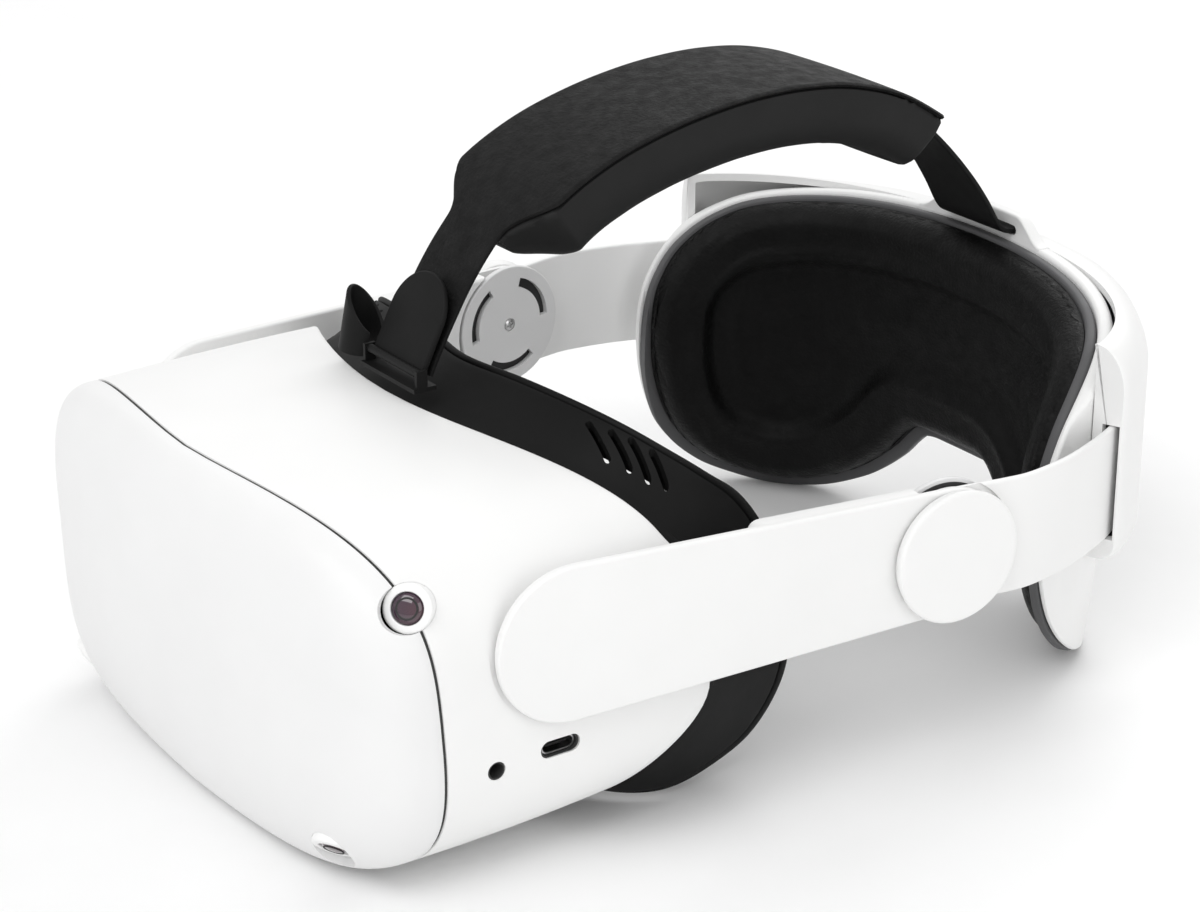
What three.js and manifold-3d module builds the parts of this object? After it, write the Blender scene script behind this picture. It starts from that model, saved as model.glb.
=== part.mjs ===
// Standalone head-worn display with a rigid rear cradle, a padded top strap and a turning fit dial.
// Millimetres. Design axes: +X to the wearer's left, +Y from the face cover to the back of the head, +Z up.
import * as THREE from 'three';
import { mergeVertices } from 'three/addons/utils/BufferGeometryUtils.js';
import Module from 'manifold-3d';

const wasm = await Module();
wasm.setup();

// ---------------------------------------------------------------- driving dimensions
const GAP = 0.3; // between neighbouring solids
const SIDES = [['left', 1], ['right', -1]];
const REST_TILT = -0.0142; // radians; brings the cover's lower edge and the cradle lobes onto one floor
const FLOOR_Z = -55.4; // height of that floor before the shift to zero
const MID_Y = 148.58; // middle of the overall length

// visor
const MID_Z = -2; // centre height of the visor outline
const SEAM = { halfWidth: 93, up: 48.65, down: 53.7, powerUp: 3.42, powerDown: 4.04 };
const REAR = { halfWidth: 94, up: 50, down: 48.5, powerUp: 3.3, powerDown: 4.65 };
const COVER_FRONT = -8.3; // foremost plane of the cover
const COVER_WALL = 2.2;
const COVER_POWER = 2.78;
const BODY_WALL = 3;
const SEAM_GAP = 0.8;
const BODY_SWELL = 0.7; // outward bow of the body halfway along its depth
const RING_STEPS = 48;
const DETAIL = 0.05; // edges flatter than this are merged
const BEZEL_RADIUS = 6.4;
const LENS_RADIUS = 4.1;
const CAMERAS = [
  { name: 'upper', at: [86.1, 15.7, 28.7], facing: [0.66, -0.66, 0.36] },
  { name: 'lower', at: [68.2, 2.8, -42.8], facing: [0.36, -0.6, -0.71] },
];
const USB = { y: 55.7, z: -18.2, width: 12, height: 5 };
const JACK = { y: 36.5, z: -19.7, radius: 2.6 };
const POWER = { y: 46, z: -20, width: 11, height: 5 };
const ROCKER = { x: 34, y: 42, length: 22, width: 5 };
const POST_RADIUS = 9;

// side arms
const ARM_TILT = Math.atan(0.104);
const PIVOT = new THREE.Vector3(98.8, 57, 12.2); // on the arm's outer face
const HUB = new THREE.Vector3(115, 170.8, 12.2); // centre of the hub cap's outer face
const ARM = { frontRadius: 21.7, rearRadius: 18.2, reach: 114.4, frontWall: 2.8, wall: 7, eyeWall: 2.2 };
const HUB_RADIUS = 19.5;
const CAP_WALL = 3.8;
const BAND_FACE = -7;
const BAND_WALL = 2;
const PLATE_FACE = -9.3;
const PLATE_WALL = 1.8;
const BAND_HALF_HEIGHT = 17;
const BAND_Z = 12.4;
const PLATE_SLOT = { radius: 14.1, halfWidth: 1.5, span: 37, middles: [37, 157, 272] }; // angles in degrees
const BAND_END_Y = 226; // where the stiff band ends and its bending tail starts

// cradle: upright, its face surface a superellipse in plan from the middle of the back round to each side
const CRADLE = { y: 205, halfWidth: 93, depth: 69.5, power: 2.3 };
const HOUSING_END = 103; // all lengths round the cradle are walked along its face surface
const HOUSING = { top: 53, bottom: -11.5, outer: 22.5, outerAtEnd: 18.4, inner: 8.3, wall: 2.2 };
const SHOULDER = { across: 9.5, down: 14 }; // the housing's upper outer edge
const MOUTH = { near: 11.3, far: 16.7, low: -5.2, high: 30 };
const EAR = { half: 19.6, top: 61.3, slotLow: 54.6, slotHigh: 57.7, slotHalf: 15.8 };

// fit dial
const DIAL_Z = 10;
const PINION = { teeth: 14, module: 1 };
const RACK = { y0: 283.4, y1: 285.4, inner: -18, outer: 32, bar: 4.15 };
const KNOB = { y0: 299.1, y1: 305.1, radius: 19.3, grips: 16 };
const BOSS_RADIUS = 17;
const SHAFT_RADIUS = 3;
const BACKLASH = 0.34;

// top strap
const STRAP_WALL = 2;
const STRAP_END_Y = 240;
const PAD_THICKNESS = 16.5;
const PAD_FRONT_Y = 92;
const PAD_HALF = 24.5;
const TAB_HALF = 12.5;
const GUIDE = { x: -22.1, y: 68.2, z: 52.4, radius: 7.1, wall: 1.4, height: 11, slant: 6.2 };

// optics
const EYE_X = 31.5;
const BARREL_RADIUS = 21;
const IPD_TRAVEL = 2.5;

const rad = THREE.MathUtils.degToRad;
const v3 = (x, y, z) => new THREE.Vector3(x, y, z);
const clamp01 = (value) => Math.min(1, Math.max(0, value));
const smooth = (value) => clamp01(value) ** 2 * (3 - 2 * clamp01(value));
const mix = (a, b, t) => a + (b - a) * t;

// ---------------------------------------------------------------- solids
/** Closed geometry to a manifold solid. */
function toSolid(geometry) {
  const bare = geometry.clone();
  for (const name of Object.keys(bare.attributes)) if (name !== 'position') bare.deleteAttribute(name);
  const welded = mergeVertices(bare, 1e-4);
  const vertProperties = new Float32Array(welded.attributes.position.array);
  const triVerts = new Uint32Array(welded.index.array);
  return new wasm.Manifold(new wasm.Mesh({ numProp: 3, vertProperties, triVerts }));
}

function toGeometry(solid) {
  const mesh = solid.simplify(DETAIL).getMesh();
  const geometry = new THREE.BufferGeometry();
  geometry.setAttribute('position', new THREE.BufferAttribute(new Float32Array(mesh.vertProperties), 3));
  geometry.setIndex(new THREE.BufferAttribute(new Uint32Array(mesh.triVerts), 1));
  geometry.computeVertexNormals();
  return geometry;
}

function cut(base, ...tools) {
  return toGeometry(tools.reduce((rest, tool) => rest.subtract(toSolid(tool)), toSolid(base)));
}

function join(base, ...others) {
  return toGeometry(others.reduce((sum, other) => sum.add(toSolid(other)), toSolid(base)));
}

function moved(geometry, x, y, z, rx = 0, ry = 0, rz = 0) {
  const turn = new THREE.Quaternion().setFromEuler(new THREE.Euler(rx, ry, rz));
  const matrix = new THREE.Matrix4().compose(v3(x, y, z), turn, v3(1, 1, 1));
  return geometry.clone().applyMatrix4(matrix);
}

/** Turned body round Z: profile points are [radius, height]. */
function lathe(profile, sides = 20) {
  const turned = new THREE.LatheGeometry(profile.map(([r, z]) => new THREE.Vector2(r, z)), sides);
  for (const name of ['normal', 'uv']) turned.deleteAttribute(name);
  return facingOut(mergeVertices(turned.rotateX(Math.PI / 2), 1e-4));
}

const box = (x0, x1, y0, y1, z0, z1) =>
  moved(new THREE.BoxGeometry(x1 - x0, y1 - y0, z1 - z0), (x0 + x1) / 2, (y0 + y1) / 2, (z0 + z1) / 2);

/** Cylinder along X, Y or Z from a to b on that axis. */
function rod(axis, radius, a, b, u, v, sides = 20) {
  const geometry = new THREE.CylinderGeometry(radius, radius, Math.abs(b - a), sides);
  const mid = (a + b) / 2;
  if (axis === 'x') return moved(geometry, mid, u, v, 0, 0, Math.PI / 2);
  if (axis === 'y') return moved(geometry, u, mid, v);
  return moved(geometry, u, v, mid, Math.PI / 2);
}

/** Mirror image across the plane x = 0, with its faces still pointing out. */
function mirrored(geometry) {
  const copy = geometry.index ? geometry.clone() : mergeVertices(geometry);
  copy.applyMatrix4(new THREE.Matrix4().makeScale(-1, 1, 1));
  flip(copy);
  copy.computeVertexNormals();
  return copy;
}

const sided = (geometry, side) => (side > 0 ? geometry : mirrored(geometry));

/** Joins closed loops of points into one closed body, capped at both ends unless it runs round in a ring. */
function skin(sections, ring = false) {
  const count = sections[0].length;
  const points = sections.flat();
  const index = [];
  const spans = ring ? sections.length : sections.length - 1;
  for (let s = 0; s < spans; s += 1) {
    const here = s * count;
    const next = ((s + 1) % sections.length) * count;
    for (let k = 0; k < count; k += 1) {
      const l = (k + 1) % count;
      index.push(here + k, here + l, next + l, here + k, next + l, next + k);
    }
  }
  if (!ring) {
    for (const [start, turned] of [[0, true], [(sections.length - 1) * count, false]]) {
      const centre = v3(0, 0, 0);
      for (let k = 0; k < count; k += 1) centre.addScaledVector(points[start + k], 1 / count);
      points.push(centre);
      for (let k = 0; k < count; k += 1) {
        const a = start + k;
        const b = start + ((k + 1) % count);
        index.push(points.length - 1, turned ? b : a, turned ? a : b);
      }
    }
  }
  const geometry = new THREE.BufferGeometry().setFromPoints(points);
  geometry.setIndex(index);
  return facingOut(geometry);
}

/** Turns every face over if the body is inside out. */
function facingOut(geometry) {
  if (volume(geometry) < 0) flip(geometry);
  geometry.computeVertexNormals();
  return geometry;
}

function flip(geometry) {
  const index = geometry.index.array;
  for (let i = 0; i < index.length; i += 3) [index[i], index[i + 1]] = [index[i + 1], index[i]];
}

function volume(geometry) {
  const position = geometry.attributes.position;
  const corner = (i) => new THREE.Vector3().fromBufferAttribute(position, geometry.index.array[i]);
  let sum = 0;
  for (let i = 0; i < geometry.index.count; i += 3) sum += corner(i).dot(corner(i + 1).cross(corner(i + 2)));
  return sum / 6;
}

/** Flat outline in (Y, Z) given a thickness along X from x0 to x1. */
function slab(shape, x0, x1, curveSegments = 12) {
  const geometry = new THREE.ExtrudeGeometry(shape, { depth: x1 - x0, bevelEnabled: false, curveSegments });
  const matrix = new THREE.Matrix4().makeBasis(v3(0, 1, 0), v3(0, 0, 1), v3(1, 0, 0)).setPosition(x0, 0, 0);
  return geometry.applyMatrix4(matrix);
}

/** Flat outline in (X, Z) given a thickness along Y from y0 to y1. */
function plate(shape, y0, y1, curveSegments = 2) {
  const geometry = new THREE.ExtrudeGeometry(shape, { depth: y1 - y0, bevelEnabled: false, curveSegments });
  const matrix = new THREE.Matrix4().makeBasis(v3(1, 0, 0), v3(0, 0, 1), v3(0, -1, 0)).setPosition(0, y1, 0);
  return geometry.applyMatrix4(matrix);
}

function roundedRect(width, height, radius, cx = 0, cy = 0) {
  const x = width / 2 - radius;
  const y = height / 2 - radius;
  const shape = new THREE.Shape();
  shape.absarc(cx + x, cy + y, radius, 0, Math.PI / 2);
  shape.absarc(cx - x, cy + y, radius, Math.PI / 2, Math.PI);
  shape.absarc(cx - x, cy - y, radius, Math.PI, Math.PI * 1.5);
  shape.absarc(cx + x, cy - y, radius, Math.PI * 1.5, Math.PI * 2);
  return shape;
}

// ---------------------------------------------------------------- visor outlines
const power = (value, exponent) => Math.sign(value) * Math.abs(value) ** exponent;

/** Point on a rounded-rectangle outline at angle a, in the XZ plane. */
function outline(a, halfWidth, up, down, powerUp, powerDown) {
  const n = Math.sin(a) >= 0 ? powerUp : powerDown;
  const height = Math.sin(a) >= 0 ? up : down;
  return v3(halfWidth * power(Math.cos(a), 2 / n), 0, MID_Z + height * power(Math.sin(a), 2 / n));
}

/** Seam between the front cover and the body, drawn in by inset. */
function seam(a, inset = 0) {
  const { halfWidth, up, down, powerUp, powerDown } = SEAM;
  const p = outline(a, halfWidth - inset, up - inset, down - inset, powerUp, powerDown);
  p.y = seamDepth(p.x, p.z);
  return p;
}

function seamDepth(x, z) {
  const t = (z - MID_Z) / 50;
  return 7.7 + 13.2 * Math.abs(x / SEAM.halfWidth) ** 1.45 - 4.1 * t - 2.9 * t ** 2 + 0.45 * t ** 3;
}

/** Rear edge of the body, drawn in by inset. */
function rearEdge(a, inset = 0) {
  const { halfWidth, up, down, powerUp, powerDown } = REAR;
  const p = outline(a, halfWidth - inset, up - inset, down - inset, powerUp, powerDown);
  const across = (p.x / halfWidth) ** 2;
  const below = (6.8 + 25.5 * across) * smooth((-14 - p.z) / 43);
  const above = 7 * across * smooth((p.z - 12) / 18);
  p.y = 63 + 41 * across - below - above;
  return p;
}

const ringAngles = Array.from({ length: RING_STEPS }, (_, i) => (i / RING_STEPS) * 2 * Math.PI + Math.PI / 2);

/** Face side of the interface: half outline from the forehead round the temple to the nose. */
const FACE_EDGE = [
  [0, 90, 53], [22, 94, 52.5], [43, 97.5, 51.5], [60, 101, 49.5], [72, 106, 45.5], [79, 114, 39],
  [81.5, 125, 29], [82, 135, 12], [82, 140.5, -8], [81.5, 140, -26], [81, 131, -40.5], [80.3, 118.5, -48],
  [78.5, 102, -52.6], [70, 89, -53], [57, 82, -51.5], [43, 78, -47.5], [28, 74.5, -41], [13, 71, -31],
  [0, 69.5, -26],
];

function faceRing() {
  const right = FACE_EDGE.slice(1, -1).reverse().map(([x, y, z]) => [-x, y, z]);
  const points = [...FACE_EDGE, ...right].map(([x, y, z]) => v3(x, y, z));
  const curve = new THREE.CatmullRomCurve3(points, true, 'centripetal');
  return Array.from({ length: RING_STEPS }, (_, i) => curve.getPointAt(i / RING_STEPS));
}

/** The body's rear opening, walked at even steps the same way round as the face ring. */
function openingRing(inset, forward) {
  const points = [...ringAngles].reverse().map((a) => rearEdge(a, inset));
  points.unshift(points.pop());
  const curve = new THREE.CatmullRomCurve3(points, true, 'centripetal');
  const ring = Array.from({ length: RING_STEPS }, (_, i) => curve.getPointAt(i / RING_STEPS));
  for (const p of ring) p.y -= forward;
  return ring;
}

/** Unit vectors in the XZ plane that point into a ring walked clockwise seen from the front. */
function inwards(ring) {
  return ring.map((_, i) => {
    const before = ring[(i + ring.length - 1) % ring.length];
    const after = ring[(i + 1) % ring.length];
    return v3(after.z - before.z, 0, before.x - after.x).normalize();
  });
}

// ---------------------------------------------------------------- materials
function finish(color, roughness, metalness = 0) {
  return new THREE.MeshStandardMaterial({ color, roughness, metalness });
}

const whitePlastic = () => finish(0xf1f1f0, 0.42);
const greyPlastic = () => finish(0xcfcfcf, 0.5);
const rimPlastic = () => finish(0x6e6e70, 0.55);
const blackPlastic = () => finish(0x1c1c1e, 0.55);
const softBlack = () => finish(0x161618, 0.8);
const leatherette = () => finish(0x131314, 0.7);
const lensGlass = () => finish(0x0a0c1a, 0.05);
const steel = () => finish(0xc9c9cb, 0.3, 1);
const board = () => finish(0x1e4d34, 0.6);
const foilGrey = () => finish(0x9a9ca0, 0.35, 0.8);

const root = new THREE.Group();
root.rotation.x = REST_TILT;
root.position.set(0, -MID_Y, -FLOOR_Z);

/** Everything below the floor, in design axes: it flattens what the visor stands on. */
function underFloor() {
  root.updateMatrix();
  return box(-60, 60, -200, -60, -20, 0).applyMatrix4(root.matrix.clone().invert());
}

function add(name, geometry, material, parent = root) {
  const mesh = new THREE.Mesh(geometry, material);
  mesh.name = name;
  parent.add(mesh);
  return mesh;
}

// ---------------------------------------------------------------- cameras
/** Turns a shape made round +Z so that it faces a camera's way, standing at its place. */
function aimed(geometry, camera) {
  const turn = new THREE.Quaternion().setFromUnitVectors(v3(0, 0, 1), v3(...camera.facing).normalize());
  const matrix = new THREE.Matrix4().compose(v3(...camera.at), turn, v3(1, 1, 1));
  return geometry.clone().applyMatrix4(matrix);
}

function cameraBezel() {
  const r = BEZEL_RADIUS;
  const hole = LENS_RADIUS + GAP;
  return lathe([[hole, 0.3], [r - 0.8, 0.6], [r, 0], [r, -7], [hole, -7], [hole, 0.3]], 18);
}

function cameraLens() {
  return lathe([[0, -6], [LENS_RADIUS, -6], [LENS_RADIUS, -0.4], [LENS_RADIUS * 0.6, 0.1], [0, 0.3]], 16);
}

const cameraBore = (camera) => aimed(rod('z', BEZEL_RADIUS + GAP, -9, 6, 0, 0), camera);
const everyBore = () => CAMERAS.flatMap((camera) => [cameraBore(camera), mirrored(cameraBore(camera))]);

function addCameras() {
  for (const camera of CAMERAS) {
    for (const [label, side] of SIDES) {
      add(`camera_bezel_${camera.name}_${label}`, sided(aimed(cameraBezel(), camera), side), whitePlastic());
      add(`camera_lens_${camera.name}_${label}`, sided(aimed(cameraLens(), camera), side), lensGlass());
    }
  }
}

// ---------------------------------------------------------------- visor shells
/** Front cover: a dome whose edge rolls back to the seam. */
function frontCover() {
  const dome = (t, wall) => ringAngles.map((a) => {
    const edge = seam(a, 0);
    const scaleX = ((SEAM.halfWidth - wall) / SEAM.halfWidth) * t;
    const scaleZ = ((SEAM.up - wall) / SEAM.up) * t;
    const depth = edge.y - SEAM_GAP / 2;
    const y = depth - (depth - COVER_FRONT - wall) * (1 - t ** COVER_POWER) ** (1 / COVER_POWER);
    return v3(edge.x * scaleX, y, MID_Z + (edge.z - MID_Z) * scaleZ);
  });
  const outer = [0.02, 0.4, 0.62, 0.79, 0.91, 0.975, 1].map((t) => dome(t, 0));
  const inner = [1, 0.93, 0.7, 0.4, 0.02].map((t) => dome(t, COVER_WALL));
  return cut(skin([...outer, ...inner]), ...everyBore(), underFloor());
}

/** Body: a sleeve from the seam to the face opening. */
function bodySleeve() {
  const sections = ringAngles.map((a) => {
    const front = seam(a);
    const rear = rearEdge(a);
    front.y += SEAM_GAP / 2;
    const inner = [seam(a, BODY_WALL), rearEdge(a, BODY_WALL)];
    inner[0].y = front.y;
    inner[1].y = rear.y;
    const outer = [0, 0.33, 0.67, 1].map((t) => {
      const p = front.clone().lerp(rear, t);
      const swell = 1 + (BODY_SWELL * 4 * t * (1 - t)) / SEAM.halfWidth;
      return v3(p.x * swell, p.y, MID_Z + (p.z - MID_Z) * swell);
    });
    return [...outer, inner[1], inner[0]];
  });
  return skin(sections, true);
}

const sideStadium = (at, grow = 0) =>
  roundedRect(at.width + 2 * grow, at.height + 2 * grow, at.height / 2 + grow - 0.01, at.y, at.z);

function rockerShape(grow = 0) {
  const { x, y, length, width } = ROCKER;
  return roundedRect(length + 2 * grow, width + 2 * grow, width / 2 + grow - 0.01, x, y);
}

function rockerPrism(z0, z1, grow = 0) {
  const options = { depth: z1 - z0, bevelEnabled: false, curveSegments: 5 };
  const geometry = new THREE.ExtrudeGeometry(rockerShape(grow), options);
  return moved(geometry, 0, 0, z0);
}

/** Shallow round recess that the arm's front end turns in, and the hole of its post. */
function armRecess(side) {
  const recess = rod('x', ARM.frontRadius + 0.9, -ARM.frontWall - 0.7, 12, 0, 0, 32);
  const hole = rod('x', POST_RADIUS + GAP, -20, 2, 0, 0);
  const at = [side * PIVOT.x, PIVOT.y, PIVOT.z, 0, 0, -side * ARM_TILT];
  return [moved(sided(recess, side), ...at), moved(sided(hole, side), ...at)];
}

function bodyShell() {
  const tools = [
    ...everyBore(),
    ...SIDES.flatMap(([, side]) => armRecess(side)),
    slab(sideStadium(USB), 85, 105, 5),
    rod('x', JACK.radius, 85, 105, JACK.y, JACK.z, 20),
    slab(sideStadium(POWER, GAP), -105, -85, 5),
    rockerPrism(-62, -40, GAP),
    underFloor(),
  ];
  return cut(bodySleeve(), ...tools);
}

/** Dark chassis: a ring behind the seam with a cross wall that carries the boards. */
function chassis() {
  const wallY = 24;
  const inset = 5.4;
  const ring = skin(ringAngles.map((a) => {
    const outer = seam(a, inset);
    const inner = seam(a, inset + 2.5);
    const front = outer.y - 1.5;
    return [v3(outer.x, front, outer.z), v3(outer.x, wallY, outer.z), v3(inner.x, wallY, inner.z),
      v3(inner.x, front, inner.z)];
  }), true);
  const outlinePoints = ringAngles.map((a) => seam(a, inset + 0.5)).map((p) => new THREE.Vector2(p.x, p.z));
  const wall = plate(new THREE.Shape(outlinePoints), wallY - 1.8, wallY);
  return cut(join(ring, wall), ...everyBore(), rod('y', 4, 20, 26, 48, -30, 20));
}

// ---------------------------------------------------------------- inside the visor
function addElectronics() {
  const panel = plate(roundedRect(124, 60, 4, 0, 0), 19.4, 21);
  add('main_board', cut(panel, rod('y', 2, 18, 23, 56, 24, 16)), board());
  add('battery_pack', plate(roundedRect(56, 44, 3, -30, -2), 9, 18.6), foilGrey());
  add('heat_spreader', plate(roundedRect(58, 50, 2, 31, 0), 17.4, 18.9), foilGrey());
  const fan = cut(plate(roundedRect(40, 40, 6, 31, 0), 9.2, 16.9), rod('y', 14.5, 5, 15.4, 31, 0, 32));
  add('fan_case', fan, blackPlastic());
  add('fan_rotor', fanRotor(), blackPlastic());
  add('display_panel', plate(roundedRect(132, 66, 3, 0, 0), 26, 28), lensGlass());
  const sensor = plate(roundedRect(8, 5, 1, 0, 30), 54.4, 57);
  add('proximity_sensor', sensor, lensGlass());
}

function fanRotor() {
  const blades = 7;
  const parts = [];
  for (let i = 0; i < blades; i += 1) {
    const blade = moved(new THREE.BoxGeometry(9, 4.4, 1), 8.5, 0, 0);
    parts.push(moved(blade, 31, 12.4, 0, 0, (i / blades) * 2 * Math.PI, 0));
  }
  return join(rod('y', 5.5, 10, 14.8, 31, 0, 24), ...parts);
}

/** Wall round the lens barrels that closes the body behind the optics. */
function lensShroud() {
  const edge = ringAngles.map((a) => outline(a, 78, 41, 40, 3.2, 4));
  const points = edge.map((p) => new THREE.Vector2(p.x, p.z));
  const slots = SIDES.map(([, side]) => {
    const width = 2 * (BARREL_RADIUS + IPD_TRAVEL + 0.5);
    const height = 2 * (BARREL_RADIUS + 0.5);
    return plate(roundedRect(width, height, height / 2 - 0.01, side * EYE_X, 0), 50, 58, 5);
  });
  return cut(plate(new THREE.Shape(points), 52, 54), ...slots);
}

function addOptics() {
  add('lens_shroud', lensShroud(), blackPlastic());
  for (const [label, side] of SIDES) {
    const r = BARREL_RADIUS;
    const barrel = lathe([[15, 0], [r, 0], [r, 34], [r - 1.2, 34.6], [r - 1.6, 34], [r - 1.6, 28], [15, 24],
      [15, 0]], 22);
    const glass = lathe([[0, 26.4], [12, 26.8], [r - 2, 28.6], [r - 2, 31], [12, 33.4], [0, 34]], 22);
    add(`lens_barrel_${label}`, moved(barrel, side * EYE_X, 29.5, 0, -Math.PI / 2), blackPlastic());
    add(`lens_${label}`, moved(glass, side * EYE_X, 29.5, 0, -Math.PI / 2), lensGlass());
  }
}

// ---------------------------------------------------------------- face interface
const VENTS = [[58.7, 92.2, 13.8, -0.18], [64.4, 95.3, 12, -0.12], [69, 98.2, 10.3, -0.06],
  [73.1, 101.5, 7.2, 0.08]]; // x, y, length and turn of each slot over the temple
const FRAME_INSET = BODY_WALL + 1.5;
const FRAME_WALL = 2.4;
const FRAME_SHARE = 0.9; // of the way from the body to the face

/** Black frame that carries the face cushion, with slanted vents over each temple. */
function faceFrame() {
  const opening = openingRing(FRAME_INSET, 4);
  const face = faceRing();
  const into = inwards(opening);
  const sections = opening.map((p, i) => {
    const lip = p.clone().add(v3(0, 5, 0));
    const end = p.clone().lerp(face[i], FRAME_SHARE);
    return [p, lip, end, ...[end, lip, p].map((q) => q.clone().addScaledVector(into[i], FRAME_WALL))];
  });
  const vents = VENTS.map(([x, y, length, turn]) =>
    moved(new THREE.BoxGeometry(length, 1.8, 24), x, y, 45, 0, 0, turn));
  return cut(skin(sections, true), ...vents, ...vents.map(mirrored));
}

function faceCushion() {
  const opening = openingRing(FRAME_INSET, 4);
  const face = faceRing();
  const intoOpening = inwards(opening);
  const intoFace = inwards(face);
  const sections = opening.map((p, i) => {
    const start = FRAME_SHARE + (5 * GAP) / p.distanceTo(face[i]);
    const at = (t, inset) => {
      const into = intoOpening[i].clone().lerp(intoFace[i], clamp01((t - start) / (1 - start))).normalize();
      return p.clone().lerp(face[i], t).addScaledVector(into, inset);
    };
    return [at(start, 0), at(0.98, 0.3), at(1.02, 3.5), at(1.02, 8.5), at(0.98, 12), at(start, 12)];
  });
  return skin(sections, true);
}

// ---------------------------------------------------------------- ports and buttons
function addPortsAndButtons() {
  const shell = cut(slab(sideStadium({ ...USB, width: 10.6, height: 4.2 }), 80, 90.5, 5),
    slab(sideStadium({ ...USB, width: 9, height: 2.8 }), 82, 92, 5));
  add('usb_c_port', shell, steel());
  const socket = rod('x', JACK.radius + 1.4, 74, 87.8, JACK.y, JACK.z, 20);
  const jack = cut(socket, rod('x', 1.75, 78, 92, JACK.y, JACK.z, 20));
  add('audio_jack', jack, blackPlastic());
  add('power_button', slab(sideStadium(POWER), -94.4, -89, 5), whitePlastic());
  add('volume_rocker', rockerPrism(-53.7, -48.2), whitePlastic());
}

// ---------------------------------------------------------------- arms and hubs
/** A group standing at a point on one side, square to the arm's slanting outer face. */
function sideGroup(at, side) {
  const group = new THREE.Group();
  group.position.set(side * at.x, at.y, at.z);
  group.rotation.z = -side * ARM_TILT;
  root.add(group);
  return group;
}

/** Long arm outline, round at both ends, along Y from the pivot. */
function armOutline(from, to) {
  const { frontRadius, rearRadius, reach } = ARM;
  const halfAt = (s) => mix(frontRadius, rearRadius, s / reach);
  const shape = new THREE.Shape();
  if (from === 0) shape.absarc(0, 0, frontRadius, Math.PI / 2, Math.PI * 1.5);
  else shape.moveTo(from, halfAt(from)).lineTo(from, -halfAt(from));
  if (to === reach) shape.absarc(reach, 0, rearRadius, -Math.PI / 2, Math.PI / 2);
  else shape.lineTo(to, -halfAt(to)).lineTo(to, halfAt(to));
  return shape;
}

function sideArm() {
  const socket = rod('x', POST_RADIUS + 0.5, -ARM.frontWall - 1, -1.3, 0, 0);
  const front = slab(armOutline(0, ARM.reach), -ARM.frontWall + 0.6, 0);
  const thin = slab(armOutline(0, 60), -ARM.frontWall, -1);
  const thick = slab(armOutline(54, ARM.reach), -ARM.wall, -1);
  const eyeRoom = rod('x', HUB_RADIUS + 1, -20, -ARM.eyeWall, ARM.reach, 0, 32);
  const shaftHole = rod('x', 5.6, -20, 5, ARM.reach, 0);
  return cut(join(front, thin, thick), eyeRoom, shaftHole, socket);
}

function pivotPost() {
  return join(rod('x', POST_RADIUS, -14, -1.8, 0, 0), rod('x', POST_RADIUS + 3, -16, -13, 0, 0));
}

function hubCap() {
  return join(rod('x', HUB_RADIUS, -CAP_WALL, 0, 0, 0, 36), rod('x', 5, PLATE_FACE + GAP, -1, 0, 0));
}

/** Inner hub plate with three arc slots round its screw. */
function hubPlate() {
  const { radius, halfWidth, span, middles } = PLATE_SLOT;
  const slots = middles.map((middle) => {
    const shape = new THREE.Shape();
    shape.absarc(0, 0, radius + halfWidth, rad(middle - span), rad(middle + span), false);
    shape.absarc(0, 0, radius - halfWidth, rad(middle + span), rad(middle - span), true);
    return slab(shape, -15, -5, 3);
  });
  const face = rod('x', HUB_RADIUS, PLATE_FACE - PLATE_WALL, PLATE_FACE, 0, 0, 32);
  return cut(face, ...slots, rod('x', 1.8, -15, -5, 0, 0, 16));
}

function hubScrew() {
  const back = PLATE_FACE - PLATE_WALL - GAP;
  const head = lathe([[0, -1.1], [2, -0.9], [3, 0], [0, 0]], 24);
  const slotA = moved(new THREE.BoxGeometry(2, 3.4, 0.8), back - 1.4, 0, 0);
  const slotB = moved(new THREE.BoxGeometry(2, 0.8, 3.4), back - 1.4, 0, 0);
  const shank = rod('x', 1.4, back - 0.1, PLATE_FACE + 0.1, 0, 0, 16);
  return cut(join(moved(head, back, 0, 0, 0, Math.PI / 2), shank), slotA, slotB);
}

/** Middle line of a rear band in plan, from its hub into the cradle. */
const BAND_PATH = [[106.4, 165], [107.4, 173], [108.9, 181], [110.8, 190], [111.6, 199], [109.4, 213.5],
  [105, 227.3], [99.6, 240], [92.6, 251], [83.6, 261.5], [74, 269.5], [64.5, 275.6], [54, 280.2], [44, 283],
  [33.6, 284.4]];

function bandSections(y0, y1, wall, taper) {
  const curve = new THREE.CatmullRomCurve3(BAND_PATH.map(([x, y]) => v3(x, y, BAND_Z)), false, 'centripetal');
  const steps = 38;
  const stations = Array.from({ length: steps + 1 }, (_, i) => i / steps)
    .filter((t) => curve.getPointAt(t).y >= y0 && curve.getPointAt(t).y <= y1);
  return stations.map((t) => {
    const p = curve.getPointAt(t);
    const along = curve.getTangentAt(t);
    const across = v3(along.y, -along.x, 0);
    const corner = (a, b) => p.clone().addScaledVector(across, (a * wall) / 2).add(v3(0, 0, b * taper(p.x)));
    return [corner(-1, -1), corner(1, -1), corner(1, 1), corner(-1, 1)];
  });
}

function rearBand() {
  const strip = skin(bandSections(174, BAND_END_Y, BAND_WALL, () => BAND_HALF_HEIGHT));
  const atHub = (geometry) => moved(geometry, HUB.x, HUB.y, HUB.z, 0, 0, -ARM_TILT);
  const eye = atHub(rod('x', 17, BAND_FACE - BAND_WALL, BAND_FACE, 0, 0, 32));
  const hole = atHub(rod('x', 5.3, -20, 0, 0, 0));
  const outside = atHub(rod('x', HUB_RADIUS + 0.6, BAND_FACE, 5, 0, 0, 32));
  const inside = atHub(rod('x', HUB_RADIUS + 0.6, -20, BAND_FACE - BAND_WALL, 0, 0, 32));
  return cut(join(cut(strip, outside, inside), eye), hole);
}

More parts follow.
